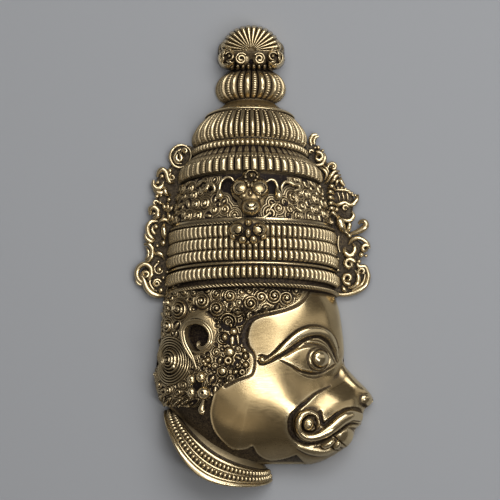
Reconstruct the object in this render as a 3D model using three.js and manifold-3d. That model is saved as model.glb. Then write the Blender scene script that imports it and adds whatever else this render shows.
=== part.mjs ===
// A hollow cast brass wall mask of Hanuman: a monkey face in profile under a tall tiered crown.
// It lies on its flat back rim, open side down. +Z is out of the face, +Y is up the crown, and the
// face looks along +X. Millimetres.
//
// The carving is drawn in shares: one share is a hundredth of the mask's height. x is counted from
// the middle of the width and y from the lowest point. Walls, rims and reliefs that a caster sets
// by themselves are in millimetres.
import * as THREE from "three";
import { mergeVertices } from "three/addons/utils/BufferGeometryUtils.js";
import Module from "manifold-3d";

// Driving dimensions
const HEIGHT = 330; // collar to the tip of the finial
const WALL = 4; // thickness of the cast wall
const EDGE = 3.4; // upright edge that the face and the wings stand on
const CROWN_DEPTH = 0.74; // depth of a tier as a share of its half width
const COLLAR_DEPTH = 0.72; // the same for the neck and its collar
const WING_THICKNESS = 7.5; // scrollwork beside the crown, over the back plane
const SCROLL_FOOT = 1.5; // height over the back plane where the scrolls leave their plate
const SINK = 1.6; // how far a raised piece runs into what carries it
const BACK = 6; // how far the hollow's cutting body runs out behind the back plane

const SHARE = HEIGHT / 100;

const wasm = await Module();
wasm.setup();

// Helpers

/** A closed solid from a three.js geometry. */
function solidOf(geometry) {
  const bare = new THREE.BufferGeometry();
  const whole = geometry.index ? geometry.toNonIndexed() : geometry;
  bare.setAttribute("position", whole.getAttribute("position"));
  const merged = mergeVertices(bare, 1e-4);
  return new wasm.Manifold(
    new wasm.Mesh({
      numProp: 3,
      vertProperties: new Float32Array(merged.attributes.position.array),
      triVerts: new Uint32Array(merged.index.array),
    }),
  );
}

/** A closed solid from points [x, y, z] and triangles that index them. */
function solidFrom(points, triangles) {
  const geometry = new THREE.BufferGeometry().setFromPoints(
    points.map((p) => new THREE.Vector3(...p)),
  );
  geometry.setIndex(triangles.flat());
  return solidOf(geometry);
}

/** Joins solids two by two, which keeps the booleans quick. */
function joined(solids) {
  let left = solids;
  while (left.length > 1) {
    const next = [];
    for (let i = 0; i < left.length; i += 2)
      next.push(i + 1 < left.length ? left[i].add(left[i + 1]) : left[i]);
    left = next;
  }
  return left[0];
}

const mix = THREE.MathUtils.lerp;
const turn = (degrees) => THREE.MathUtils.degToRad(degrees);

/** A smooth curve through [at, value] pairs: the value at any place between them. */
function through(pairs) {
  const slope = (i) => {
    const a = pairs[Math.max(i - 1, 0)];
    const b = pairs[Math.min(i + 1, pairs.length - 1)];
    return (b[1] - a[1]) / (b[0] - a[0]);
  };
  return (at) => {
    const last = pairs.length - 1;
    let i = pairs.findIndex((p) => p[0] > at) - 1;
    if (i === -2) i = last - 1;
    if (i === -1) i = 0;
    const [x0, y0] = pairs[i];
    const [x1, y1] = pairs[i + 1];
    const span = x1 - x0;
    const t = THREE.MathUtils.clamp((at - x0) / span, 0, 1);
    const t2 = t * t;
    const t3 = t2 * t;
    return (
      (2 * t3 - 3 * t2 + 1) * y0 +
      (t3 - 2 * t2 + t) * span * slope(i) +
      (3 * t2 - 2 * t3) * y1 +
      (t3 - t2) * span * slope(i + 1)
    );
  };
}

/** Points spread evenly along a smooth line through [x, y] points. */
function smooth(points, steps) {
  const curve = new THREE.CatmullRomCurve3(
    points.map(([x, y]) => new THREE.Vector3(x, y, 0)),
  );
  return curve.getSpacedPoints(steps).map((p) => [p.x, p.y]);
}

// The face: the outline of the profile, and bulges that make its surface

const JAW = 5.8; // height of the jaw's lowest line
const FACE_TOP = 45.5; // the face runs up inside the crown to here

const profile = through([
  [JAW, 12.4],
  [6.9, 15.7],
  [8.8, 18.6],
  [10.2, 20.3],
  [11.6, 21.2],
  [12.9, 21.4],
  [13.7, 22.0],
  [14.4, 23.2],
  [15.9, 23.7],
  [17.4, 24.3],
  [18.7, 24.9],
  [19.9, 25.75],
  [21.7, 24.9],
  [23.3, 23.6],
  [25.5, 21.4],
  [27.7, 19.6],
  [29.5, 19.45],
  [33.2, 19.3],
  [38.6, 18.5],
  [41.9, 17.5],
  [FACE_TOP, 16.0],
]);
const nape = through([
  [JAW, -4.0],
  [8.5, -9.4],
  [12.5, -13.4],
  [16.5, -16.6],
  [18.9, -19.0],
  [20.6, -20.2],
  [23.0, -20.8],
  [28.1, -20.5],
  [32.0, -19.5],
  [35.0, -19.4],
  [38.0, -19.0],
  [41.0, -18.8],
  [FACE_TOP, -18.0],
]);

// Each bulge of the face is half an ellipsoid: its middle, its half sizes and its height.
const bulges = [
  { x: -0.5, y: 33, rx: 20.5, ry: 19.5, high: 14.0 }, // skull
  { x: -3.0, y: 21, rx: 18.5, ry: 16.5, high: 14.6 }, // cheek
  { x: 12.0, y: 16, rx: 12.5, ry: 10.5, high: 10.2 }, // muzzle
  { x: 19.5, y: 22, rx: 6.8, ry: 6.0, high: 5.2 }, // nose
  { x: 14.0, y: 10.5, rx: 8.6, ry: 5.4, high: 7.4 }, // chin
  { x: -7.0, y: 16, rx: 13.5, ry: 13.5, high: 10.4 }, // neck
];
const BULGE_BLEND = 8; // higher gives a sharper valley between two bulges
const EDGE_RADIUS = 15; // roundness of the face where it turns to the back plane
const EDGE_BLEND = 4;

const outline = (() => {
  const steps = 40;
  const rows = Array.from({ length: steps + 1 }, (_, i) => mix(JAW, FACE_TOP + 8, i / steps));
  return [
    ...rows.map((y) => [nape(y), y]).reverse(),
    ...rows.map((y) => [profile(y), y]),
  ];
})();

/** Distance from a point to the outline of the face. */
function inset(x, y) {
  let best = Infinity;
  for (let i = 0; i + 1 < outline.length; i++) {
    const [ax, ay] = outline[i];
    const [bx, by] = outline[i + 1];
    const dx = bx - ax;
    const dy = by - ay;
    const along = (x - ax) * dx + (y - ay) * dy;
    const t = THREE.MathUtils.clamp(along / (dx * dx + dy * dy || 1), 0, 1);
    best = Math.min(best, Math.hypot(x - ax - t * dx, y - ay - t * dy));
  }
  return best;
}

/** Height of the face over the back plane, in shares. */
function faceHeight(x, y) {
  const bulge = bulges.reduce((sum, b) => {
    const left = 1 - ((x - b.x) / b.rx) ** 2 - ((y - b.y) / b.ry) ** 2;
    return sum + (b.high * Math.sqrt(Math.max(left, 0))) ** BULGE_BLEND;
  }, 0);
  const edge = EDGE / SHARE;
  const d = Math.min(inset(x, y), EDGE_RADIUS);
  const round = edge + Math.sqrt(2 * EDGE_RADIUS * d - d * d);
  const full = Math.max(bulge ** (1 / BULGE_BLEND), edge);
  return (full ** -EDGE_BLEND + round ** -EDGE_BLEND) ** (-1 / EDGE_BLEND);
}

/** The face or its hollow: rows across it from jaw to crown, closed along the back. */
function faceBody({ rows, columns, wall = 0, behind = 0, lowest = JAW, highest = FACE_TOP }) {
  const points = [];
  const triangles = [];
  for (let i = 0; i <= rows; i++) {
    const y = mix(lowest, highest, i / rows);
    const near = [y - wall, y, y + wall];
    const left = Math.max(...near.map(nape)) + wall;
    const right = Math.min(...near.map(profile)) - wall;
    const section = [[left, -behind]];
    for (let j = 0; j <= columns; j++) {
      const x = mix(left, right, (1 - Math.cos((Math.PI * j) / columns)) / 2);
      section.push([x, Math.max(faceHeight(x, y) - 1.2 * wall, 0.2)]);
    }
    section.push([right, -behind]);
    points.push(...section.map(([x, z]) => [x * SHARE, y * SHARE, z * SHARE]));
  }
  closeRings(triangles, rows, columns + 3);
  return solidFrom(points, triangles);
}

/** Triangles that join rows of a closed section and fill the two ends. */
function closeRings(triangles, rows, count) {
  for (let i = 0; i < rows; i++)
    for (let j = 0; j < count; j++) {
      const next = (j + 1) % count;
      const [a, b] = [i * count + j, i * count + next];
      triangles.push([a, b, b + count], [a, b + count, a + count]);
    }
  const end = rows * count;
  for (let j = 1; j + 1 < count; j++)
    triangles.push([0, j + 1, j], [end, end + j, end + j + 1]);
}

/** A raised moulding along a path over a surface, four-sided, with its width at each end. */
function ridge(path, { width, tip = width, rise, drop = SINK / SHARE, surface = faceHeight }) {
  const points = [];
  const last = path.length - 1;
  path.forEach(([x, y], i) => {
    const [ax, ay] = path[Math.max(i - 1, 0)];
    const [bx, by] = path[Math.min(i + 1, last)];
    const length = Math.hypot(bx - ax, by - ay);
    const [nx, ny] = [(ay - by) / length, (bx - ax) / length];
    const swell = Math.sin((Math.PI * i) / last);
    const w = mix(tip, width, swell);
    const h = rise * mix(Math.min(tip / width, 1), 1, swell);
    const section = [
      [-w, -drop],
      [w, -drop],
      [0.5 * w, h],
      [-0.5 * w, h],
    ];
    const base = surface(x, y);
    for (const [side, up] of section)
      points.push([(x + nx * side) * SHARE, (y + ny * side) * SHARE, (base + up) * SHARE]);
  });
  const triangles = [];
  closeRings(triangles, last, 4);
  const made = solidFrom(points, triangles);
  return made.volume() < 0 ? solidFrom(points, triangles.map(([a, b, c]) => [a, c, b])) : made;
}

/** A geometry drawn round +Z, turned to stand on a surface. */
function seated(geometry, x, y, surface) {
  const step = 0.4;
  const normal = new THREE.Vector3(
    (surface(x - step, y) - surface(x + step, y)) / (2 * step),
    (surface(x, y - step) - surface(x, y + step)) / (2 * step),
    1,
  ).normalize();
  geometry.applyQuaternion(
    new THREE.Quaternion().setFromUnitVectors(new THREE.Vector3(0, 0, 1), normal),
  );
  geometry.translate(x * SHARE, y * SHARE, surface(x, y) * SHARE);
  return solidOf(geometry);
}

/** A curl: a low drum whose top winds up and in round its middle, with one step where it starts.
 * `hand` is the way it winds, `from` the angle of its step, and `foot` how far down it reaches. */
function curl({ x, y, radius, rise, hand = 1, from = 0, sides = 8, foot, surface = faceHeight }) {
  const down = foot ?? SINK / SHARE;
  const points = [new THREE.Vector3(0, 0, rise * 1.1 * SHARE)];
  for (let j = 0; j < sides; j++) {
    const angle = turn(from) + (hand * 2 * Math.PI * j) / sides;
    const [dx, dy] = [Math.cos(angle), Math.sin(angle)];
    const wind = j / (sides - 1);
    const r = radius * mix(1, 0.6, wind);
    const lift = rise * mix(0.45, 1, wind);
    points.push(
      new THREE.Vector3(radius * dx, radius * dy, -down).multiplyScalar(SHARE),
      new THREE.Vector3(r * dx, r * dy, lift).multiplyScalar(SHARE),
    );
  }
  const triangles = [];
  for (let j = 0; j < sides; j++) {
    const [low, high] = [1 + 2 * j, 2 + 2 * j];
    const [nextLow, nextHigh] = [1 + 2 * ((j + 1) % sides), 2 + 2 * ((j + 1) % sides)];
    triangles.push([0, high, nextHigh], [low, nextLow, nextHigh], [low, nextHigh, high]);
  }
  for (let j = 1; j + 1 < sides; j++) triangles.push([1, 1 + 2 * (j + 1), 1 + 2 * j]);
  const facing = hand > 0 ? triangles : triangles.map(([a, b, c]) => [a, c, b]);
  const geometry = new THREE.BufferGeometry().setFromPoints(points);
  geometry.setIndex(facing.flat());
  return seated(geometry, x, y, surface);
}

/** A round bead or knob standing on a surface. */
function bead({ x, y, radius, rise = radius, sides = 6, surface = faceHeight }) {
  const outlinePoints = [
    [0, -SINK / SHARE],
    [radius, -SINK / SHARE],
    [radius * 0.75, rise * 0.75],
    [0, rise],
  ].map(([r, h]) => new THREE.Vector2(r * SHARE, h * SHARE));
  const lathe = new THREE.LatheGeometry(outlinePoints, sides);
  lathe.rotateX(Math.PI / 2);
  return seated(lathe, x, y, surface);
}

/** A curl of the scrollwork beside the crown, rising out of its plate or from the back plane. */
const scroll = ({ x, y, radius, high = 1, hand = 1, from = 0, sides = 8, foot = 0 }) =>
  curl({
    x,
    y,
    radius,
    rise: (WING_THICKNESS / SHARE) * high,
    hand,
    from,
    sides,
    foot: -foot,
    surface: () => 0,
  });

/** One ring of a turned body: its place along the axis, its radius, and how far its sides hang
 * behind its front. A fluted ring has crests with valleys between them, cut deeper by `cut`. */
const ring = (at, radius, droop, { flutes = 0, cut = 0, segments = 16 } = {}) => ({
  at,
  radius,
  droop,
  cut,
  columns: flutes ? 2 * flutes : segments,
});

/** Half a turned body lying on the back plane, stitched from ring to ring along a leaning axis.
 * `bend` gives how far the axis strays sideways at each place along it. */
function halfTurned({ x, y, lean, depth, rings, behind = 0, bend = () => 0 }) {
  const along = [Math.sin(turn(lean)), Math.cos(turn(lean))];
  const across = [along[1], -along[0]];
  const points = [];
  const triangles = [];
  const starts = rings.map(({ at, radius, droop, cut, columns }) => {
    const start = points.length;
    for (let j = 0; j <= columns; j++) {
      const angle = -Math.PI / 2 + (Math.PI * j) / columns;
      const r = radius - (j % 2 ? 0 : cut);
      const side = bend(at) + r * Math.sin(angle);
      const up = at - droop * (1 - Math.cos(angle));
      const z = j % columns ? depth * r * Math.cos(angle) : -behind;
      points.push([
        (x + along[0] * up + across[0] * side) * SHARE,
        (y + along[1] * up + across[1] * side) * SHARE,
        z * SHARE,
      ]);
    }
    return start;
  });
  for (let i = 0; i + 1 < rings.length; i++) {
    const [low, high] = [rings[i].columns, rings[i + 1].columns];
    const [a, b] = [starts[i], starts[i + 1]];
    let [j, k] = [0, 0];
    while (j < low || k < high)
      if (k === high || (j < low && (j + 1) / low <= (k + 1) / high)) {
        triangles.push([a + j, a + j + 1, b + k]);
        j += 1;
      } else {
        triangles.push([a + j, b + k + 1, b + k]);
        k += 1;
      }
    triangles.push([a + low, a, b], [a + low, b, b + high]);
  }
  const [first, last] = [rings[0].columns, rings.at(-1).columns];
  const end = starts.at(-1);
  for (let j = 1; j < first; j++) triangles.push([0, j + 1, j]);
  for (let j = 1; j < last; j++) triangles.push([end, end + j, end + j + 1]);
  return solidFrom(points, triangles);
}

// The crown: tiers turned round one upright axis

const crownMiddle = through([
  [43, 0.0],
  [58, -0.2],
  [70, -0.6],
  [82, -0.7],
  [87, -0.4],
  [100, -0.4],
]);
const crownTier = (rings, options) =>
  halfTurned({ x: 0, y: 0, lean: 0, depth: CROWN_DEPTH, bend: crownMiddle, rings, ...options });

/** Two rings that make a tier of upright ribs, and the groove above it. */
function ribbed({ low, high, radius, droop, flutes, cut = 0.4, groove = 0.25, deep = 0.9 }) {
  return [
    ring(low, radius, droop, { flutes, cut }),
    ring(high, radius, droop, { flutes, cut }),
    ring(high + groove, radius - deep, droop),
  ];
}

// The plain body of the crown, which the hollow and the ornaments follow
const crownBody = [
  ring(43.6, 17.9, 2.5),
  ring(47.4, 18.0, 2.4),
  ring(54.0, 17.8, 1.9),
  ring(58.3, 18.0, 1.6),
  ring(63.0, 17.0, 2.0),
  ring(68.4, 15.0, 2.6),
  ring(73.8, 12.4, 2.8),
  ring(78.0, 11.5, 2.5),
  ring(81.4, 9.6, 2.2),
];

function crown() {
  return crownTier([
    ring(43.6, 17.6, 2.6),
    ring(44.3, 18.8, 2.6),
    ring(45.3, 18.8, 2.6),
    ring(45.8, 18.0, 2.5),
    ...ribbed({ low: 46.1, high: 48.3, radius: 18.9, droop: 2.4, flutes: 31 }),
    ring(49.0, 18.5, 2.3),
    ring(49.45, 17.9, 2.2),
    ...ribbed({ low: 49.7, high: 51.9, radius: 18.8, droop: 2.1, flutes: 31 }),
    ...ribbed({ low: 52.4, high: 54.4, radius: 18.4, droop: 1.8, flutes: 31 }),
    ...ribbed({ low: 54.9, high: 57.1, radius: 18.2, droop: 1.6, flutes: 31, deep: 0.6 }),
    ring(57.7, 18.3, 1.6),
    ring(58.3, 17.8, 1.6),
    ring(63.0, 17.0, 2.0),
    ring(67.6, 15.2, 2.5),
    ring(68.2, 14.6, 2.7),
    ...ribbed({ low: 68.6, high: 71.4, radius: 15.8, droop: 3.0, flutes: 22, cut: 0.55, groove: 0.1 }),
    ring(71.8, 15.0, 3.0, { flutes: 24, cut: 0.6 }),
    ring(73.6, 12.3, 2.8),
    ring(74.7, 13.0, 2.6, { flutes: 26, cut: 0.6 }),
    ring(75.6, 11.6, 2.6),
    ring(76.2, 12.4, 2.6, { flutes: 23, cut: 0.45 }),
    ring(79.2, 11.6, 2.4, { flutes: 23, cut: 0.45 }),
    ring(81.5, 10.0, 2.2, { flutes: 23, cut: 0.35 }),
    ring(82.3, 9.3, 2.1, { segments: 20 }),
    ring(82.8, 6.8, 1.7, { segments: 16 }),
    ring(83.6, 5.2, 1.3, { segments: 12 }),
    ring(84.3, 7.0, 1.2, { flutes: 13, cut: 0.4 }),
    ring(86.6, 7.9, 1.1, { flutes: 13, cut: 0.6 }),
    ring(88.8, 7.0, 0.9, { flutes: 13, cut: 0.4 }),
    ring(90.6, 4.2, 0.7, { segments: 12 }),
    ring(91.6, 4.8, 0.4, { flutes: 8, cut: 0.7 }),
    ring(93.0, 3.4, 0.4, { segments: 12 }),
  ]);
}

/** Height of the crown's smooth body over the back plane at a point, in shares. */
function crownHeight(x, y) {
  let [low, high] = [crownBody[0], crownBody[1]];
  for (let i = 0; i + 1 < crownBody.length; i++) {
    const side = Math.min(Math.abs(x - crownMiddle(y)) / crownBody[i].radius, 1);
    const line = crownBody[i].at - crownBody[i].droop * (1 - Math.sqrt(1 - side * side));
    if (line <= y) [low, high] = [crownBody[i], crownBody[i + 1]];
  }
  const side = Math.min(Math.abs(x - crownMiddle(y)) / low.radius, 1);
  const line = low.at - low.droop * (1 - Math.sqrt(1 - side * side));
  const t = THREE.MathUtils.clamp((y - line) / (high.at - low.at), 0, 1);
  const radius = mix(low.radius, high.radius, t);
  return CROWN_DEPTH * Math.sqrt(Math.max(radius ** 2 - (x - crownMiddle(y)) ** 2, 0.01));
}

// The finial: a fan shell between two volutes, over the crown's ribbed ball

/** A dome of radial ribs over an oval, standing on the back plane. */
function fan({ x, y, halfWidth, up, down, high, ribs }) {
  const rings = [0, 0.35, 0.75, 1];
  const columns = 2 * ribs;
  const points = [[x * SHARE, y * SHARE, high * SHARE]];
  for (const out of rings.slice(1))
    for (let j = 0; j < columns; j++) {
      const angle = (2 * Math.PI * j) / columns;
      const crest = j % 2 ? 1 : 0.94;
      const reach = out * crest;
      const z = out === 1 ? high * 0.35 : high * Math.sqrt(1 - 0.88 * out * out) * crest;
      points.push([
        (x + halfWidth * reach * Math.cos(angle)) * SHARE,
        (y + (Math.sin(angle) > 0 ? up : down) * reach * Math.sin(angle)) * SHARE,
        z * SHARE,
      ]);
    }
  const outer = points.length - columns;
  for (let j = 0; j < columns; j++) points.push([points[outer + j][0], points[outer + j][1], 0]);
  points.push([x * SHARE, y * SHARE, 0]);
  const centre = points.length - 1;
  const triangles = [];
  for (let j = 0; j < columns; j++) {
    const next = (j + 1) % columns;
    triangles.push([0, 1 + j, 1 + next]);
    for (let k = 0; k < rings.length - 1; k++) {
      const a = 1 + k * columns;
      triangles.push([a + j, a + columns + j, a + columns + next]);
      triangles.push([a + j, a + columns + next, a + next]);
    }
    triangles.push([centre, centre - columns + next, centre - columns + j]);
  }
  return solidFrom(points, triangles);
}

function finial() {
  const middle = crownMiddle(95);
  const shell = fan({ x: middle, y: 95.0, halfWidth: 7.0, up: 5.0, down: 2.6, high: 5.4, ribs: 15 });
  const volutes = [-1, 1].flatMap((side) => [
    scroll({ x: middle + side * 5.1, y: 92.9, radius: 2.4, high: 1.9, hand: side, from: 90 }),
    scroll({ x: middle + side * 2.0, y: 92.5, radius: 1.4, high: 2.6, hand: -side, from: 90 }),
  ]);
  return [shell, ...volutes];
}

// The wings beside the crown: scrolls standing on a low plate whose inner edge is in the crown.
// A scroll has its middle, its radius and its height as a share of the wing's thickness.

const leftPlate = [
  [-15.2, 69.0], [-14.6, 72.6], [-16.0, 74.2], [-18.0, 73.2], [-18.9, 70.4], [-21.2, 68.6],
  [-21.9, 65.6], [-21.2, 61.6], [-22.6, 59.0], [-22.4, 54.6], [-22.0, 50.4], [-24.0, 49.4],
  [-25.4, 46.6], [-23.4, 43.2], [-20.4, 41.9], [-18.2, 42.2], [-18.0, 56.0], [-17.4, 61.0],
];
const rightPlate = [
  [13.6, 69.0], [15.8, 61.0], [17.4, 56.0], [17.4, 42.6], [20.6, 42.2], [23.6, 43.6],
  [24.8, 46.6], [22.9, 49.4], [24.4, 52.4], [23.2, 54.6], [24.0, 57.4], [22.4, 58.2],
  [22.9, 60.6], [21.2, 62.0], [21.9, 64.4], [18.4, 68.2], [16.2, 71.2], [14.6, 73.2],
  [13.9, 76.6], [12.6, 76.2], [12.4, 72.4],
];
const leftWing = [
  [-16.2, 71.6, 2.0, 1.2],
  [-18.0, 67.8, 1.6, 1.1],
  [-20.6, 66.2, 1.5, 1],
  [-18.6, 63.9, 1.6, 1.2],
  [-20.6, 61.4, 1.5, 1],
  [-19.0, 58.6, 1.6, 1.2],
  [-21.6, 56.8, 1.7, 1],
  [-19.7, 54.4, 1.5, 1.1],
  [-21.8, 51.9, 1.6, 1],
  [-19.9, 49.6, 1.4, 1.1],
  [-23.2, 46.5, 2.2, 1],
  [-20.4, 44.2, 1.7, 1.2],
];
const rightWing = [
  [14.5, 71.0, 1.9, 1.2],
  [16.9, 67.8, 1.7, 1.2],
  [17.9, 64.3, 1.8, 1.1],
  [20.7, 63.4, 1.5, 1],
  [18.6, 60.6, 1.7, 1.2],
  [21.3, 59.4, 1.6, 1],
  [19.8, 56.6, 1.5, 1.1],
  [22.6, 56.6, 1.2, 1],
  [20.4, 53.2, 1.7, 1.2],
  [23.5, 52.4, 1.3, 1],
  [20.3, 49.6, 1.6, 1.1],
  [20.4, 45.4, 2.0, 1.2],
  [23.6, 46.4, 1.4, 1],
];

function wings() {
  const plates = [leftPlate, rightPlate].map((edge) => {
    const corners = edge.map(([x, y]) => new THREE.Vector2(x, y).multiplyScalar(SHARE));
    const plate = new THREE.ExtrudeGeometry(new THREE.Shape(corners), {
      depth: EDGE,
      bevelEnabled: false,
    });
    return solidOf(plate);
  });
  const foot = SCROLL_FOOT / SHARE;
  const scrolls = [...leftWing, ...rightWing].map(([x, y, radius, high], i) =>
    scroll({ x, y, radius, high, hand: i % 2 ? 1 : -1, from: 70 * i, sides: 6, foot }),
  );
  return [...plates, ...scrolls];
}

// Ornaments on the front of the crown

// Curls on both sides of the crown's middle line: distance out, height, radius, rise, way and step
const pairedCurls = [
  [2.4, 64.9, 2.0, 1.5, 1, 90],
  [1.9, 56.4, 1.8, 1.5, 1, 90],
  [6.8, 64.4, 1.6, 1.0, -1, 20],
  [8.0, 61.0, 1.7, 0.9, 1, 50],
  [11.6, 63.0, 1.6, 0.9, -1, 80],
];

function crownOrnaments() {
  const middle = crownMiddle(62);
  const on = { surface: crownHeight };
  const curls = [-1, 1].flatMap((side) =>
    pairedCurls.map(([out, y, radius, rise, way, from]) =>
      curl({ x: middle + side * out, y, radius, rise, hand: side * way, from, sides: 6, ...on }),
    ),
  );
  return [...curls, bead({ x: middle, y: 61.2, radius: 2.2, rise: 2.2, sides: 8, ...on })];
}

// Hair, ear and earring: each curl and bead has its middle and its radius

const hairCurls = [
  [-15.5, 39.0, 2.1],
  [-10.7, 40.8, 1.7],
  [-7.5, 39.9, 1.8],
  [-4.4, 41.6, 1.6],
  [-0.6, 40.4, 1.6],
  [3.0, 41.8, 1.7],
  [6.6, 41.6, 1.6],
  [9.6, 43.2, 1.5],
  [-4.4, 36.8, 2.1],
  [-18.0, 35.5, 1.6],
  [-5.7, 33.4, 1.5],
  [-17.3, 28.5, 3.0],
  [-5.6, 29.2, 1.3],
  [-1.8, 29.0, 1.2],
  [-3.4, 26.0, 1.2],
  [-6.6, 25.8, 1.2],
  [-17.8, 22.4, 1.5],
  [-14.8, 20.4, 1.3],
];
const earBeads = [
  [-13.1, 24.0, 1.1],
  [-10.8, 24.6, 1.1],
  [-12.9, 21.2, 1.1],
  [-10.2, 21.4, 1.4],
];

// The moulding between the hair and the face, from the brow round to the nape
const hairLine = [
  [10.8, 42.6], [9.0, 40.6], [4.4, 39.0], [0.0, 37.6], [-2.0, 34.8],
  [-1.4, 31.2], [-0.8, 28.0], [-3.6, 24.8], [-8.0, 21.6],
];
const earRim = [
  [-11.8, 26.6], [-13.4, 29.9], [-14.6, 33.2], [-14.2, 36.0], [-12.2, 37.4],
  [-9.9, 36.6], [-8.6, 34.0], [-9.2, 31.6], [-11.0, 30.8], [-11.9, 32.2],
];

function hair() {
  const buttons = hairCurls.map(([x, y, radius], i) => {
    const rise = 0.5 + 0.25 * radius;
    return curl({ x, y, radius, rise, hand: i % 2 ? 1 : -1, from: 50 * i, sides: radius > 1.9 ? 8 : 6 });
  });
  const beads = earBeads.map(([x, y, radius]) => bead({ x, y, radius, rise: 1.2 * radius }));
  return [...buttons, ...beads, ridge(smooth(hairLine, 10), { width: 0.55, rise: 0.6 })];
}

const ear = () => ridge(smooth(earRim, 13), { width: 0.75, tip: 0.55, rise: 1.5 });

/** The dark bowl inside the rim of the ear, cut out of the head. */
function earBowl() {
  const bowl = new THREE.SphereGeometry(1, 8, 6);
  bowl.scale(2.1 * SHARE, 2.9 * SHARE, 1.7 * SHARE);
  bowl.translate(-11.9 * SHARE, 33.8 * SHARE, (faceHeight(-11.9, 33.8) + 0.5) * SHARE);
  return solidOf(bowl);
}

// Features of the face

const upperLid = [
  [1.9, 28.5], [3.9, 28.8], [6.0, 30.2], [8.4, 32.2], [10.5, 34.0],
  [12.7, 34.8], [14.6, 34.7], [16.2, 33.4], [17.1, 31.4], [17.6, 28.9],
];
const lowerLid = [
  [5.6, 28.5], [8.2, 26.8], [10.4, 25.5], [12.6, 25.0], [14.8, 25.2], [16.4, 26.3], [17.5, 27.2],
];
// The upper lip, from the front of the mouth back to the coil at its corner
const upperLip = [
  [22.9, 15.4], [21.3, 16.6], [19.2, 16.0], [17.2, 14.5], [14.8, 13.0], [12.6, 12.2], [10.6, 12.6],
  [9.4, 14.0], [9.2, 15.8], [10.2, 17.2], [11.8, 17.6], [13.2, 16.8], [13.7, 15.3],
];
const lowerLip = [[21.0, 11.4], [18.8, 9.8], [16.2, 9.0], [13.2, 9.4], [10.6, 10.6]];
// The scalloped edge where the cheek stands over the neck: the side, then under the jaw
const cheekEdge = [
  [-8.3, 21.6], [-8.9, 18.8], [-8.6, 16.2], [-7.2, 12.2], [-4.4, 9.7], [-2.6, 9.5], [0.0, 10.1],
];
const jawEdge = [[1.0, 8.6], [2.4, 7.4], [4.0, 6.9], [6.9, 7.2], [9.4, 8.1]];

function eye() {
  const ball = new THREE.SphereGeometry(1, 10, 6);
  ball.scale(1.9 * SHARE, 2.2 * SHARE, 1.5 * SHARE);
  ball.translate(13.8 * SHARE, 28.6 * SHARE, (faceHeight(13.8, 28.6) - 0.1) * SHARE);
  return [
    ridge(smooth(upperLid, 11), { width: 1.0, tip: 0.35, rise: 1.1 }),
    ridge(smooth(lowerLid, 5), { width: 0.45, tip: 0.25, rise: 0.55 }),
    solidOf(ball),
  ];
}

const mouth = () => [
  ridge(smooth(upperLip, 15), { width: 1.05, tip: 0.8, rise: 1.1 }),
  ridge(smooth(lowerLip, 5), { width: 0.8, tip: 0.4, rise: 0.5 }),
  bead({ x: 11.9, y: 14.9, radius: 1.1, rise: 0.9 }),
];

const cheek = () =>
  ridge([...smooth(cheekEdge, 5), ...smooth(jawEdge, 3)], { width: 0.5, rise: 0.5 });

// The neck's collar: two beaded bands between plain rims, turned round the leaning neck

// The middle of the neck, and its axis in degrees round from straight up
const collarSeat = { x: -6.6, y: 11.0, lean: 213, depth: COLLAR_DEPTH };

/** How far the sides of a ring of the collar lie behind its front, counted outwards from the jaw. */
const collarDroop = (at) => mix(3.1, 6.4, (at - 3) / 4.6);
const collarRing = (at, radius, options) => ring(at, radius, collarDroop(at), options);

function collar() {
  const beads = { flutes: 21, cut: 0.6 };
  return halfTurned({
    ...collarSeat,
    rings: [
      collarRing(0.4, 9.6),
      collarRing(3.0, 11.9),
      collarRing(3.7, 11.7),
      collarRing(4.6, 13.0, beads),
      collarRing(5.4, 12.5),
      collarRing(6.4, 13.7, beads),
      collarRing(7.2, 13.2),
      collarRing(7.9, 14.0),
      collarRing(8.7, 13.5),
    ],
  });
}

// The hollow behind the mask

function hollow() {
  const wall = WALL / SHARE;
  const behind = BACK / SHARE;
  const face = faceBody({
    rows: 9,
    columns: 8,
    wall,
    behind,
    lowest: JAW + wall,
    highest: FACE_TOP + 1.5,
  });
  const inCrown = crownTier(
    crownBody.slice(1).map(({ at, radius, droop }) =>
      ring(at - wall * 0.5, radius - wall, droop, { segments: 12 }),
    ),
    { behind },
  );
  const inCollar = halfTurned({
    ...collarSeat,
    behind,
    rings: [
      [2.0, 10.6],
      [5.0, 12.2],
      [8.7, 13.4],
    ].map(([at, radius]) =>
      ring(at - 1.2 * wall, radius - 1.3 * wall, collarDroop(at), { segments: 10 }),
    ),
  });
  return joined([face, inCrown, inCollar]);
}

// The whole casting

const raised = joined([
  faceBody({ rows: 17, columns: 17 }),
  crown(),
  ...finial(),
  ...wings(),
  ...crownOrnaments(),
  ...hair(),
  ear(),
  ...eye(),
  ...mouth(),
  cheek(),
  collar(),
]);
const casting = raised.subtract(joined([hollow(), earBowl()]));

/** The solid as a geometry, moved so that its middle stands over the origin. */
function geometryOf(solid) {
  const { numProp, numVert, vertProperties, triVerts } = solid.getMesh();
  const place = new Float32Array(numVert * 3);
  for (let i = 0; i < numVert; i++)
    place.set(vertProperties.subarray(i * numProp, i * numProp + 3), i * 3);
  const geometry = new THREE.BufferGeometry();
  geometry.setAttribute("position", new THREE.BufferAttribute(place, 3));
  geometry.setIndex(new THREE.BufferAttribute(triVerts, 1));
  geometry.computeBoundingBox();
  const middle = geometry.boundingBox.getCenter(new THREE.Vector3());
  geometry.translate(-middle.x, -middle.y, -geometry.boundingBox.min.z);
  return geometry;
}

const brass = new THREE.MeshStandardMaterial({ color: 0xa88a4e, metalness: 1, roughness: 0.35 });
const mask = new THREE.Mesh(geometryOf(casting), brass);
mask.name = "mask";

const part = new THREE.Group();
part.add(mask);
export default part;
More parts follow.
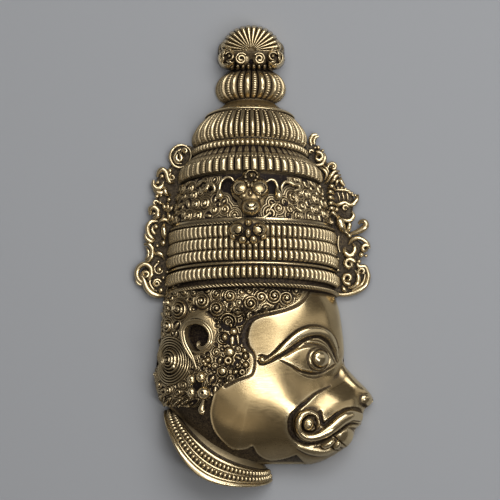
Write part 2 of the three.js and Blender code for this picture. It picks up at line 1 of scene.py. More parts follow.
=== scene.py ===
"""Dresses the Hanuman wall mask, a hollow brass casting that lies on its flat back rim.

Sizes are in shares of the mask: one share is a hundredth of its height. x runs the way the face
looks, y runs up the crown and z out of the face, all counted as in the part's own drawing.
"""
import logging
import math
from dataclasses import dataclass, field, replace
from enum import Enum
from typing import Callable, Iterable, Optional, Sequence

import bpy
import numpy as np
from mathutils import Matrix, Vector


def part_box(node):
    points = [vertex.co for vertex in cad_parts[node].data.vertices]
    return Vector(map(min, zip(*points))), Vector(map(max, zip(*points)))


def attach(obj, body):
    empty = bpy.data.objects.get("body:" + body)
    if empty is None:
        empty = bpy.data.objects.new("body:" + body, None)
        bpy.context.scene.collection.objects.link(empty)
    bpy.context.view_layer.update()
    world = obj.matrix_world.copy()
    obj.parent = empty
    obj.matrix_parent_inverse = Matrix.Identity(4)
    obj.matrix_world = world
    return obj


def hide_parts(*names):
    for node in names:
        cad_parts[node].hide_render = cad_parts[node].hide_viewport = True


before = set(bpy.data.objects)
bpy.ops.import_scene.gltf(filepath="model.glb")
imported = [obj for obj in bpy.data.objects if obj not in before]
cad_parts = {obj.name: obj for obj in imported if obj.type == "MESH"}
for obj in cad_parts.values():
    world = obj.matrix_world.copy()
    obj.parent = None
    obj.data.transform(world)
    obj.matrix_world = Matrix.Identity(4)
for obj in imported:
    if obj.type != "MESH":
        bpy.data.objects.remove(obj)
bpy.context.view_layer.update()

Array = np.ndarray
Material = bpy.types.Material
Tree = bpy.types.NodeTree
Socket = bpy.types.NodeSocket
Triple = tuple[float, float, float]
Points = tuple[tuple[float, ...], ...]
Curve = Callable[[Array], Array]
Ground = Callable[[Array, Array], Array]
Carving = Callable[[Array, Array], tuple[Array, Array]]
log = logging.getLogger("mask")

DRAWN_HEIGHT = 99.70  # shares from the foot of the collar to the top of the shell
DRAWN_LEFT = 25.4  # shares from the left side to x = 0
DRAWN_FOOT = 0.27  # shares from y = 0 to the foot of the collar
LOW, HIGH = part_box("mask")
SHARE = (HIGH.y - LOW.y) / DRAWN_HEIGHT  # metres in one share
ORIGIN = np.array([LOW.x + DRAWN_LEFT * SHARE, LOW.y - DRAWN_FOOT * SHARE, LOW.z])
WALL = 4.0 / 3.3  # thickness of the cast wall
EDGE = 3.4 / 3.3  # upright edge that the face stands on
CROWN_DEPTH = 0.74  # depth of the crown for a radius of 1
COLLAR_DEPTH = 0.72  # the same for the collar
JAW = 5.8  # lowest place of the face
FACE_TOP = 45.5  # where the face ends, inside the crown
EAR = (-11.9, 33.7)  # middle of the ear's hollow
HOLLOW_SOOT = 0.6  # grime inside the casting
FINE_ROUNDS = 5  # rounds of smoothing that the fine relief is measured against
BROAD_ROUNDS = 40  # the same for the broad relief
SHARP_ANGLE = 70.0  # degrees between faces from which an edge is sharp


# Numbers and curves


def mix(a: float, b: float, t: Array) -> Array:
    """Goes evenly from a to b as t goes from 0 to 1."""
    return a + (b - a) * t


def through(*pairs: tuple[float, float]) -> Curve:
    """Draws a smooth curve through (place, value) pairs.

    Args:
        pairs: the places, in rising order, each with its value.

    Returns:
        A function that gives the value at any place.
    """
    at, value = np.array(pairs, float).T
    slope = np.gradient(value, at)
    slope[1:-1] = (value[2:] - value[:-2]) / (at[2:] - at[:-2])

    def curve(x: Array) -> Array:
        """Value of the curve at x.

        Args:
            x: the places.

        Returns:
            The values there.
        """
        x = np.asarray(x, float)
        i = np.clip(np.searchsorted(at, x, side="right") - 1, 0, len(at) - 2)
        span = at[i + 1] - at[i]
        t = np.clip((x - at[i]) / span, 0, 1)
        rise = t * t * (3 - 2 * t)
        lean = t * (1 - t) * span * ((1 - t) * slope[i] - t * slope[i + 1])
        return value[i] * (1 - rise) + value[i + 1] * rise + lean

    return curve


def smooth_path(points: Sequence[Sequence[float]], count: int) -> Array:
    """Spreads points evenly along a smooth line.

    Args:
        points: the places that the line goes through.
        count: how many points to give back.

    Returns:
        The points, one row each, with as many columns as the places have.
    """
    p = np.array(points, float)
    p = np.vstack([2 * p[0] - p[1], p, 2 * p[-1] - p[-2]])
    t = np.linspace(0, 1, 12, endpoint=False)[:, None]
    spans = [
        0.5 * (2 * b + (c - a) * t + (2 * a - 5 * b + 4 * c - d) * t**2 + (3 * b - a - 3 * c + d) * t**3)
        for a, b, c, d in zip(p[:-3], p[1:-2], p[2:-1], p[3:])
    ]
    dense = np.vstack([*spans, p[-2:-1]])
    run = np.r_[0, np.cumsum(np.linalg.norm(np.diff(dense, axis=0), axis=1))]
    where = np.linspace(0, run[-1], count)
    return np.column_stack([np.interp(where, run, column) for column in dense.T])


def nearest(path: Array, x: Array, y: Array, reach: float = 1e3) -> tuple[Array, Array, Array]:
    """Measures points against a path.

    Args:
        path: the path's points, one row each.
        x: first coordinates of the points to measure.
        y: second coordinates of the points to measure.
        reach: distance past which a point isn't measured.

    Returns:
        The distance, the place along the path from 0 to 1, and +1 on its left side or -1 on its right.
    """
    gap = np.full(x.shape, 1e3)
    place = np.zeros(x.shape)
    side = np.ones(x.shape)
    low, high = path.min(0) - reach, path.max(0) + reach
    near = (x > low[0]) & (x < high[0]) & (y > low[1]) & (y < high[1])
    px, py = x[near], y[near]
    best, best_place, best_side = gap[near], place[near], side[near]
    for k, ((ax, ay), (bx, by)) in enumerate(zip(path[:-1], path[1:])):
        dx, dy = bx - ax, by - ay
        along = np.clip(((px - ax) * dx + (py - ay) * dy) / (dx * dx + dy * dy + 1e-12), 0, 1)
        ex, ey = px - ax - along * dx, py - ay - along * dy
        distance = np.hypot(ex, ey)
        closer = distance < best
        best[closer] = distance[closer]
        best_place[closer] = (k + along[closer]) / (len(path) - 1)
        best_side[closer] = np.where(dx * ey[closer] - dy * ex[closer] >= 0, 1, -1)
    gap[near], place[near], side[near] = best, best_place, best_side
    return gap, place, side


def within(corners: Sequence[tuple[float, float]], x: Array, y: Array) -> Array:
    """Tells which points lie inside a closed outline, by counting the sides to the right of each.

    Args:
        corners: the outline's corners.
        x: places across, in shares.
        y: places up, in shares.

    Returns:
        True where a point is inside.
    """
    inside = np.zeros(x.shape, bool)
    for (ax, ay), (bx, by) in zip(corners, (*corners[1:], corners[0])):
        if ay != by:
            inside ^= ((ay > y) != (by > y)) & (x < ax + (bx - ax) * (y - ay) / (by - ay))
    return inside


def dome(q: Array, power: float = 0.5) -> Array:
    """Height of a dome of height 1 and radius 1 at distance q from its middle."""
    return np.maximum(1 - q * q, 0) ** power


def ease(t: Array) -> Array:
    """Smooth step from 0 to 1."""
    t = np.clip(t, 0, 1)
    return t * t * (3 - 2 * t)


# Meshes


@dataclass
class Form:
    """A closed mesh in shares, with the faces that are the inside of the casting marked."""

    points: Array
    quads: Array
    tris: Array
    inside: Array
    soot: Array  # how dark each point is, from 0 to 1: patina in the hollows, and painted shade under and beside parts


def grid_quads(rows: int, columns: int, start: int = 0) -> Array:
    """Faces of a grid of points whose first point has the index start.

    Args:
        rows: rows of points.
        columns: points in a row.
        start: index of the first point.

    Returns:
        Four indices for each face.
    """
    i, j = np.mgrid[0 : rows - 1, 0 : columns - 1]
    a = start + i * columns + j
    return np.stack([a, a + 1, a + columns + 1, a + columns], -1).reshape(-1, 4)


def side_strip(outer: Array, inner: Array, flip: bool) -> list[tuple[int, int, int]]:
    """Joins two lines of points of different length by triangles.

    Args:
        outer: indices along the first line.
        inner: indices along the second line.
        flip: turns the triangles over.

    Returns:
        The triangles.
    """
    made = []
    i = k = 0
    while i < len(outer) - 1 or k < len(inner) - 1:
        ahead = (i + 1) / (len(outer) - 1) <= (k + 1) / (len(inner) - 1)
        if k == len(inner) - 1 or (i < len(outer) - 1 and ahead):
            made.append((outer[i], outer[i + 1], inner[k]))
            i += 1
        else:
            made.append((outer[i], inner[k + 1], inner[k]))
            k += 1
    return [(b, a, c) for a, b, c in made] if flip else made


def wall_form(outer: Array, inner: Array, soot: Array) -> Form:
    """Closes a fine outer grid with a coarse inner grid of as many columns.

    Args:
        outer: points of the outer face, rows by columns by 3.
        inner: points of the inner face, in the same order.
        soot: patina and painted shade at the points of the outer face, rows by columns.

    Returns:
        The closed form.
    """
    rows, columns, _ = outer.shape
    few = inner.shape[0]
    base = rows * columns
    j = np.arange(columns - 1)
    last, end = (rows - 1) * columns, base + (few - 1) * columns
    caps = np.vstack([
        np.stack([j + 1, j, base + j, base + j + 1], -1),
        np.stack([last + j, last + j + 1, end + j + 1, end + j], -1),
    ])
    inner_quads = grid_quads(few, columns, base)[:, ::-1]
    out_line, in_line = np.arange(rows) * columns, base + np.arange(few) * columns
    sides = side_strip(out_line, in_line, False)
    sides += side_strip(out_line + columns - 1, in_line + columns - 1, True)
    quads = np.vstack([grid_quads(rows, columns), caps, inner_quads])
    inside = np.zeros(len(quads) + len(sides), bool)
    inside[len(quads) - len(inner_quads) : len(quads)] = True
    points = np.vstack([outer.reshape(-1, 3), inner.reshape(-1, 3)])
    soot = np.r_[np.broadcast_to(soot, (rows, columns)).ravel(), np.full(few * columns, HOLLOW_SOOT)]
    return Form(points, quads, np.array(sides), inside, soot)


def ring_form(rings: Array, ends: Sequence[Sequence[float]], soot: Array) -> Form:
    """Joins rings of points that follow one another and closes both ends by a point.

    Args:
        rings: the rings' points, rings by points by 3.
        ends: the point inside the first ring and the one inside the last.
        soot: patina and painted shade at the rings' points and then at the two ends.

    Returns:
        The closed form.
    """
    rows, columns, _ = rings.shape
    i, j = np.mgrid[0 : rows - 1, 0:columns]
    a, b = i * columns + j, i * columns + (j + 1) % columns
    quads = np.stack([a, a + columns, b + columns, b], -1).reshape(-1, 4)
    k = np.arange(columns)
    after, last = (k + 1) % columns, (rows - 1) * columns
    end = np.full(columns, rows * columns)
    tris = np.vstack([np.stack([k, after, end], -1), np.stack([last + after, last + k, end + 1], -1)])
    points = np.vstack([rings.reshape(-1, 3), ends])
    return Form(points, quads, tris, np.zeros(len(quads) + len(tris), bool), soot)


def normals(grid: Array) -> Array:
    """Finds the unit normals of a grid of points.

    Args:
        grid: the points, rows by columns by 3.

    Returns:
        The normals, in the same order.
    """
    normal = np.cross(np.gradient(grid, axis=1), np.gradient(grid, axis=0))
    return normal / (np.linalg.norm(normal, axis=-1, keepdims=True) + 1e-12)


def write_layer(mesh: bpy.types.Mesh, name: str, values: Array) -> None:
    """Writes one number to each point of a mesh."""
    layer = mesh.attributes.new(name, "FLOAT", "POINT")
    layer.data.foreach_set("value", values.astype(np.float32))


def write_relief(mesh: bpy.types.Mesh) -> None:
    """Writes how far each point stands out of (+) or lies in (-) its surroundings, in millimetres.

    Args:
        mesh: the mesh that gets the attributes "fine" and "broad".
    """
    count = len(mesh.vertices)
    place = np.empty(3 * count, np.float32)
    normal = np.empty(3 * count, np.float32)
    ends = np.empty(2 * len(mesh.edges), np.int32)
    mesh.vertices.foreach_get("co", place)
    mesh.vertices.foreach_get("normal", normal)
    mesh.edges.foreach_get("vertices", ends)
    place = place.reshape(-1, 3).astype(float) * 1000
    normal = normal.reshape(-1, 3)
    a, b = ends.reshape(-1, 2).T
    here, there = np.r_[a, b], np.r_[b, a]
    degree = np.bincount(here, minlength=count)[:, None] + 1e-9
    calm = place.copy()
    for step in range(1, BROAD_ROUNDS + 1):
        calm = np.column_stack([np.bincount(here, calm[there, k], count) for k in range(3)]) / degree
        if step in (FINE_ROUNDS, BROAD_ROUNDS):
            name = "fine" if step == FINE_ROUNDS else "broad"
            write_layer(mesh, name, ((place - calm) * normal).sum(1))
    # pieces without their own map get painted shade on faces that turn away from the top
    if "soot" not in mesh.attributes:
        write_layer(mesh, "soot", 0.9 * np.clip((0.5 - normal[:, 2]) / 0.6, 0, 1))


def dress(name: str, mesh: bpy.types.Mesh, finishes: Sequence[Material]) -> bpy.types.Object:
    """Makes an object of a finished mesh and hands it to the frame.

    Args:
        name: name of the piece.
        mesh: its mesh, in metres, with its place in it; without a darkness map of its own it gets painted
            shade on its sides.
        finishes: its materials, in the order of the mesh's slots.

    Returns:
        The object.
    """
    mesh.name = name
    mesh.materials.clear()
    for finish in finishes:
        mesh.materials.append(finish)
    mesh.shade_smooth()
    mesh.set_sharp_from_angle(angle=math.radians(SHARP_ANGLE))
    write_relief(mesh)
    piece = bpy.data.objects.new(name, mesh)
    bpy.context.scene.collection.objects.link(piece)
    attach(piece, "root")
    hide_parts("mask")
    log.info("%s: %d faces", name, len(mesh.polygons))
    return piece


def build(name: str, form: Form, finishes: Sequence[Material]) -> bpy.types.Object:
    """Makes a piece from a form: its outside in the first finish and its inside in the last.

    Args:
        name: name of the piece.
        form: the closed form, in shares.
        finishes: one or two materials.

    Returns:
        The object.
    """
    points = ORIGIN + form.points * SHARE
    triangles = np.vstack([form.quads[:, [0, 1, 2]], form.quads[:, [0, 2, 3]], form.tris])
    a, b, c = (points[triangles[:, k]] for k in range(3))
    outward = np.einsum("ij,ij->i", a, np.cross(b, c)).sum() > 0
    quads, tris = (form.quads, form.tris) if outward else (form.quads[:, ::-1], form.tris[:, ::-1])
    corners = np.r_[quads.ravel(), tris.ravel()].astype(np.int32)
    starts = np.r_[np.arange(len(quads)) * 4, len(quads) * 4 + np.arange(len(tris)) * 3]
    mesh = bpy.data.meshes.new(name)
    mesh.vertices.add(len(points))
    mesh.vertices.foreach_set("co", points.ravel().astype(np.float32))
    mesh.loops.add(len(corners))
    mesh.loops.foreach_set("vertex_index", corners)
    mesh.polygons.add(len(starts))
    mesh.polygons.foreach_set("loop_start", starts.astype(np.int32))
    mesh.polygons.foreach_set("material_index", (form.inside * (len(finishes) - 1)).astype(np.int32))
    mesh.update(calc_edges=True)
    write_layer(mesh, "soot", form.soot)
    return dress(name, mesh, finishes)


# Finishes


class Nodes:
    """Adds nodes to a tree and joins them."""

    def __init__(self, tree: Tree) -> None:
        """Starts on a tree, which is emptied."""
        self.tree = tree
        tree.nodes.clear()

    def add(self, kind: str, inputs: Optional[dict] = None, **settings: object) -> bpy.types.Node:
        """Adds one node.

        Args:
            kind: the node's type.
            inputs: a number, colour or another node's output for each named or numbered input.
            settings: values for the node's own settings.

        Returns:
            The node.
        """
        node = self.tree.nodes.new(kind)
        for key, value in settings.items():
            setattr(node, key, value)
        for key, value in (inputs or {}).items():
            if isinstance(value, Socket):
                self.tree.links.new(value, node.inputs[key])
            else:
                node.inputs[key].default_value = value
        return node

    def math(self, operation: str, a: object, b: object = 0.0, clamp: bool = False) -> Socket:
        """Adds a sum or another operation on two values and gives its output."""
        made = self.add("ShaderNodeMath", {0: a, 1: b}, operation=operation, use_clamp=clamp)
        return made.outputs[0]

    def ramp(
        self, value: object, low: float, high: float, start: float = 0.0, end: float = 1.0
    ) -> Socket:
        """Maps a value from low..high to start..end, held at both ends."""
        made = self.add("ShaderNodeMapRange", {0: value, 1: low, 2: high, 3: start, 4: end}, clamp=True)
        return made.outputs[0]

    def noise(self, place: object, scale: float, detail: float) -> Socket:
        """Adds noise of a scale, with a number of finer layers, and gives its strength."""
        made = self.add("ShaderNodeTexNoise", {"Vector": place, "Scale": scale, "Detail": detail})
        return made.outputs["Fac"]

    def blend(self, share: object, a: object, b: object) -> Socket:
        """Mixes two colours."""
        made = self.add("ShaderNodeMix", {0: share, 6: a, 7: b}, data_type="RGBA")
        return made.outputs[2]


@dataclass(frozen=True)
class Brass:
    """Antique cast brass: polished where it stands out, dark with patina where it lies in, and darkened by
    painted shade from occlusion and from the soot map.
    """

    name: str
    body: Triple = (0.60, 0.46, 0.255)
    bright: Triple = (0.86, 0.72, 0.47)
    # colour of the patina and of the painted shade
    grime_and_shade: Triple = (0.017, 0.010, 0.009)
    smooth: float = 0.22  # roughness of the polished places
    dull: float = 0.34  # roughness of the body
    reach: float = 0.005  # how near a surface must be for the occlusion to paint shade, in metres
    settle: float = 1.0  # how strong the patina and the painted shade are
    fine_low: float = -0.11  # fine relief that is all grime, in millimetres
    fine_high: float = 0.01
    broad_low: float = -0.42
    broad_high: float = 0.02
    scratches: float = 0.12
    clouds: float = 55.0  # how many patches of tone there are in a metre
    specks: float = 900.0
    uneven: float = 0.00012  # height of the surface's unevenness, in metres

    def material(self) -> Material:
        """Builds the material.

        Returns:
            The material.
        """
        material = bpy.data.materials.new(self.name)
        material.use_nodes = True
        n = Nodes(material.node_tree)
        place = n.add("ShaderNodeTexCoord").outputs["Object"]
        layers = ("fine", "broad", "soot")
        fine, broad, soot = (n.add("ShaderNodeAttribute", attribute_name=k).outputs["Fac"] for k in layers)
        cloud = n.noise(place, self.clouds, 4.0)
        speck = n.noise(place, self.specks, 3.0)
        # ambient occlusion paints shade into the colour where other surfaces are near
        shut = n.add("ShaderNodeAmbientOcclusion", {"Distance": self.reach}, samples=6).outputs["AO"]
        low = n.math("MULTIPLY", n.ramp(fine, self.fine_low, self.fine_high, 1.0, 0.0), 0.85)
        deep = n.math("MULTIPLY", n.ramp(broad, self.broad_low, self.broad_high, 1.0, 0.0), 0.9)
        closed = n.ramp(shut, 0.2, 0.88, 1.0, 0.0)
        # the dark colour is patina where the relief lies in, and painted shade from the occlusion and from
        # the soot map
        grime_and_shade = n.math("MAXIMUM", n.math("MAXIMUM", low, deep), n.math("MAXIMUM", closed, soot))
        speckled = n.math("ADD", n.math("MULTIPLY", speck, 0.7), 0.68)
        grime_and_shade = n.math("MULTIPLY", n.math("MULTIPLY", grime_and_shade, speckled), self.settle, clamp=True)
        raised = n.math("ADD", n.math("MULTIPLY", fine, 1.6), n.math("MULTIPLY", broad, 0.5))
        worn = n.ramp(raised, 0.0, 0.45)
        worn = n.math("MULTIPLY", worn, n.ramp(cloud, 0.25, 0.75, 0.6, 1.0))
        tone = n.blend(n.ramp(cloud, 0.35, 0.65), (*[0.8 * c for c in self.body], 1), (*self.body, 1))
        colour = n.blend(worn, tone, (*self.bright, 1))
        colour = n.blend(grime_and_shade, colour, (*self.grime_and_shade, 1))
        brushed = {"Vector": place, "Rotation": (0.2, 0.3, 0.5), "Scale": (140, 2400, 900)}
        streak = n.add("ShaderNodeMapping", brushed).outputs[0]
        lines = n.noise(streak, 1.0, 2.0)
        rough = n.add("ShaderNodeMix", {0: worn, 2: self.dull, 3: self.smooth}).outputs[0]
        rough = n.math("ADD", rough, n.ramp(lines, 0.35, 0.65, -0.04, 0.05))
        rough = n.math("ADD", rough, n.math("MULTIPLY", grime_and_shade, 0.35))
        uneven = n.math("ADD", n.math("MULTIPLY", lines, self.scratches), n.math("MULTIPLY", speck, 0.25))
        bumps = {"Height": uneven, "Distance": self.uneven, "Strength": 0.5}
        bump = n.add("ShaderNodeBump", bumps).outputs[0]
        shader = n.add("ShaderNodeBsdfPrincipled", {
            "Base Color": colour,
            "Metallic": n.ramp(grime_and_shade, 0.2, 1.0, 1.0, 0.0),
            "Roughness": rough,
            "Normal": bump,
            "Specular IOR Level": 0.3,
        })
        n.add("ShaderNodeOutputMaterial", {"Surface": shader.outputs[0]})
        return material


@dataclass(frozen=True)
class Plaster:
    """Plain pale ground that the mask lies on."""

    colour: Triple = (0.395, 0.408, 0.43)

    def material(self) -> Material:
        """Builds the material.

        Returns:
            The material.
        """
        material = bpy.data.materials.new("ground")
        material.use_nodes = True
        shader = material.node_tree.nodes["Principled BSDF"]
        shader.inputs["Base Color"].default_value = (*self.colour, 1)
        shader.inputs["Roughness"].default_value = 0.85
        return material


# Carving


@dataclass(frozen=True)
class Curl:
    """A raised whorl with a groove that winds in to its middle."""

    x: float
    y: float
    radius: float
    rise: float = 0.6
    hand: int = 1
    start: float = 0.0
    pitch: float = 0.6

    @property
    def reach(self) -> float:
        """How far the whorl goes from its middle."""
        return self.radius

    def relief(self, x: Array, y: Array) -> Array:
        """Height of the whorl at points of the surface that it stands on.

        Args:
            x: places across, in shares.
            y: places up, in shares.

        Returns:
            The height at each place.
        """
        dx, dy = x - self.x, y - self.y
        out = np.hypot(dx, dy)
        turns = self.hand * np.arctan2(dy, dx) / (2 * np.pi) + out / self.pitch + self.start
        crest = 0.5 + 0.5 * np.cos(2 * np.pi * turns)
        crest = np.where(out < 0.42 * self.pitch, 1.0, crest)
        return self.rise * dome(out / self.radius, 0.42) * (0.25 + 0.75 * crest**0.6)


@dataclass(frozen=True)
class Knob:
    """A smooth oval knob."""

    x: float
    y: float
    rx: float
    ry: float
    rise: float
    lean: float = 0.0
    power: float = 0.5

    @property
    def reach(self) -> float:
        """How far the knob goes from its middle."""
        return max(self.rx, self.ry)

    def relief(self, x: Array, y: Array) -> Array:
        """Height of the knob.

        Args:
            x: places across, in shares.
            y: places up, in shares.

        Returns:
            The height at each place.
        """
        c, s = math.cos(math.radians(self.lean)), math.sin(math.radians(self.lean))
        dx, dy = x - self.x, y - self.y
        out = np.hypot((dx * c + dy * s) / self.rx, (dy * c - dx * s) / self.ry)
        return self.rise * dome(out, self.power)


@dataclass(frozen=True)
class Hoop:
    """A raised ring, or a part of one round the angle that it faces."""

    x: float
    y: float
    radius: float
    width: float
    rise: float
    facing: float = 0.0
    sweep: float = 360.0

    @property
    def reach(self) -> float:
        """How far the ring goes from its middle."""
        return self.radius + self.width

    def relief(self, x: Array, y: Array) -> Array:
        """Height of the ring, which thins out towards its ends.

        Args:
            x: places across, in shares.
            y: places up, in shares.

        Returns:
            The height at each place.
        """
        dx, dy = x - self.x, y - self.y
        off = (np.degrees(np.arctan2(dy, dx)) - self.facing + 180) % 360 - 180
        part = np.clip(2 * abs(off) / self.sweep, 0, 1)
        taper = 1.0 if self.sweep >= 360 else np.maximum(1 - part**3, 0.0) + 1e-6
        out = (np.hypot(dx, dy) - self.radius) / (self.width * taper)
        return np.where(part < 1.0, self.rise * dome(out), 0.0)


@dataclass(frozen=True)
class Moulding:
    """A raised or sunk line along a path, with a crease on both sides.

    Each point has its x and y, half the line's width there, and its height.
    """

    points: Points
    crease: float = 0.0
    crease_width: float = 0.2
    power: float = 0.5

    def relief(self, x: Array, y: Array) -> Array:
        """Height of the moulding over its surface.

        Args:
            x: places across, in shares.
            y: places up, in shares.

        Returns:
            The height at each place, below 0 in a groove or a crease.
        """
        path = smooth_path(self.points, 8 * len(self.points))
        gap, place, _ = nearest(path[:, :2], x, y, path[:, 2].max() + 3 * self.crease_width)
        at = place * (len(path) - 1)
        half = np.interp(at, np.arange(len(path)), path[:, 2])
        rise = np.interp(at, np.arange(len(path)), path[:, 3])
        body = rise * dome(gap / half, self.power)
        return body - self.crease * np.exp(-(((gap - half) / self.crease_width) ** 2))


Mark = Curl | Knob | Hoop


def highest(marks: Iterable[Mark], x: Array, y: Array) -> Array:
    """Height of the highest of some marks at each point, and 0 where there is none.

    Args:
        marks: the marks.
        x: places across, in shares.
        y: places up, in shares.

    Returns:
        The height at each place.
    """
    top = np.zeros(x.shape)
    for mark in marks:
        near = (abs(x - mark.x) < mark.reach) & (abs(y - mark.y) < mark.reach)
        top[near] = np.maximum(top[near], mark.relief(x[near], y[near]))
    return top


def packed(
    kept: Sequence[Mark],
    allowed: Callable[[float, float], bool],
    box: tuple[float, float, float, float],
    largest: float,
    smallest: float,
    seed: int,
    tries: int = 4000,
) -> list[Mark]:
    """Fills the room between marks with smaller curls and open rings.

    Args:
        kept: the marks that are already there.
        allowed: says whether a mark may stand at a place.
        box: lowest and highest x, then lowest and highest y, of the places to try.
        largest: radius of the largest mark to add.
        smallest: radius of the smallest.
        seed: start of the random draws.
        tries: how many places to try for each size.

    Returns:
        All the marks.
    """
    draw = np.random.default_rng(seed)
    full = list(kept)
    for size in (largest, 0.5 * (largest + smallest), smallest):
        for _ in range(tries):
            x, y = draw.uniform(*box[:2]), draw.uniform(*box[2:])
            if not allowed(x, y):
                continue
            room = min(math.hypot(x - c.x, y - c.y) - c.reach for c in full)
            if room < 0.9 * size:
                continue
            kind = draw.uniform()
            if kind < 0.35 and size > 0.6:
                turn = int(draw.integers(0, 2)) * 2 - 1
                full.append(Curl(x, y, size, 0.3 + 0.3 * size, turn, draw.uniform(), 0.52))
            elif kind < 0.72:
                facing, sweep = draw.uniform(0, 360), draw.uniform(170, 290)
                full.append(Hoop(x, y, 0.66 * size, 0.3 * size, 0.55, facing, sweep))
            else:
                full.append(Knob(x, y, 0.42 * size, 0.95 * size, 0.5, draw.uniform(-80, 80)))
    return full


def strands(marks: Sequence[Mark], x: Array, y: Array, pitch: float) -> Array:
    """Height, from 0 to 1, of fine lines that run round the marks and fill the ground between them.

    Args:
        marks: the marks that the lines follow.
        x: first coordinates of the points.
        y: second coordinates of the points.
        pitch: distance from line to line.

    Returns:
        The height at each point.
    """
    gap = np.full(x.shape, 2.0)
    for mark in marks:
        reach = mark.reach + 2.0
        near = (abs(x - mark.x) < reach) & (abs(y - mark.y) < reach)
        away = np.hypot(x[near] - mark.x, y[near] - mark.y)
        away = abs(away - mark.radius) - mark.width if isinstance(mark, Hoop) else away - mark.reach
        gap[near] = np.minimum(gap[near], away)
    return abs(np.sin(np.pi * np.maximum(gap, 0) / pitch)) * ease((3.1 * pitch - gap) / pitch)


# The face


@dataclass
class FaceShape:
    """The casting's smooth face: a profile, a nape, and the bulges between them."""

    profile: Curve = field(default_factory=lambda: through(
        (JAW, 12.4), (6.5, 14.7), (7.6, 17.0), (9.1, 19.3), (10.9, 21.1), (12.3, 21.7), (13.4, 21.95),
        (14.2, 22.9), (15.2, 23.4), (16.6, 23.6), (17.6, 23.95), (18.4, 24.9), (19.3, 25.7), (20.4, 25.5),
        (22, 24.3), (23.9, 22.4), (25.6, 20.8), (27, 19.65), (28.3, 19.45), (30, 19.5), (33.2, 19.3),
        (38.6, 18.5), (41.9, 17.5), (FACE_TOP, 16),
    ))
    nape: Curve = field(default_factory=lambda: through(
        (JAW, -4.0), (8.5, -9.4), (12.5, -13.4), (16.5, -16.6), (18.9, -19.0), (20.6, -20.2), (23.0, -20.8),
        (28.1, -20.5), (32, -19.5), (35, -19.4), (38, -19), (41, -18.8), (FACE_TOP, -18),
    ))
    bulges: Points = (
        (-0.5, 33, 20.5, 19.5, 14),
        (-3, 21, 18.5, 16.5, 14.6),
        (12, 16, 12.5, 10.5, 10.2),
        (19.5, 22, 6.8, 6, 5.2),
        (14, 10.5, 8.6, 5.4, 7.4),
        (-7, 16, 13.5, 13.5, 10.4),
        (5, 13.5, 9.5, 8.6, 8),
    )
    blend: float = 5.0
    turn: float = 15.0  # how far in from its outline the face goes on rising

    def __post_init__(self) -> None:
        """Draws the outline once."""
        y = np.linspace(JAW, FACE_TOP + 8, 70)
        left = np.column_stack([self.nape(y), y])[::-1]
        self.outline = np.vstack([left, np.column_stack([self.profile(y), y])])

    def height(self, x: Array, y: Array) -> Array:
        """Height of the smooth face over the back plane.

        Args:
            x: places across, in shares.
            y: places up, in shares.

        Returns:
            The height at each place.
        """
        x, y = np.broadcast_arrays(np.asarray(x, float), np.asarray(y, float))
        total = sum(
            (high * dome(np.hypot((x - bx) / rx, (y - by) / ry))) ** self.blend
            for bx, by, rx, ry, high in self.bulges
        )
        gap = np.minimum(nearest(self.outline, x, y)[0], self.turn)
        rounded = EDGE + np.sqrt(2 * self.turn * gap - gap * gap)
        full = np.maximum(total ** (1 / self.blend), EDGE)
        return (full**-4 + rounded**-4) ** -0.25


HAIR_LINE = (
    (11.6, 44.4), (10.8, 42.6), (9.3, 40.7), (7.1, 39.6), (4.4, 38.9), (1.1, 38.2), (-0.9, 37.3),
    (-2.2, 35.6), (-2.7, 33.4), (-2, 31.4), (-0.6, 29.8), (-0.4, 27.3), (-1.1, 25.6), (-3.5, 24.5),
    (-6.1, 23.2), (-8.1, 21.3),
)
SCALLOP = (
    (-8.2, 21.6), (-8.8, 19.3), (-9.1, 17.2), (-8.8, 15.2), (-8.2, 13.6), (-7.2, 12.1), (-5.7, 10.6),
    (-4.4, 9.6), (-2.7, 9.4), (-1.2, 9.7), (0, 10.2), (0.9, 8.6), (2.4, 7.4), (3.9, 6.9), (5.8, 7.1),
    (7.6, 7.6), (9.2, 8.2), (10.2, 7.2), (11.5, 5.6),
)


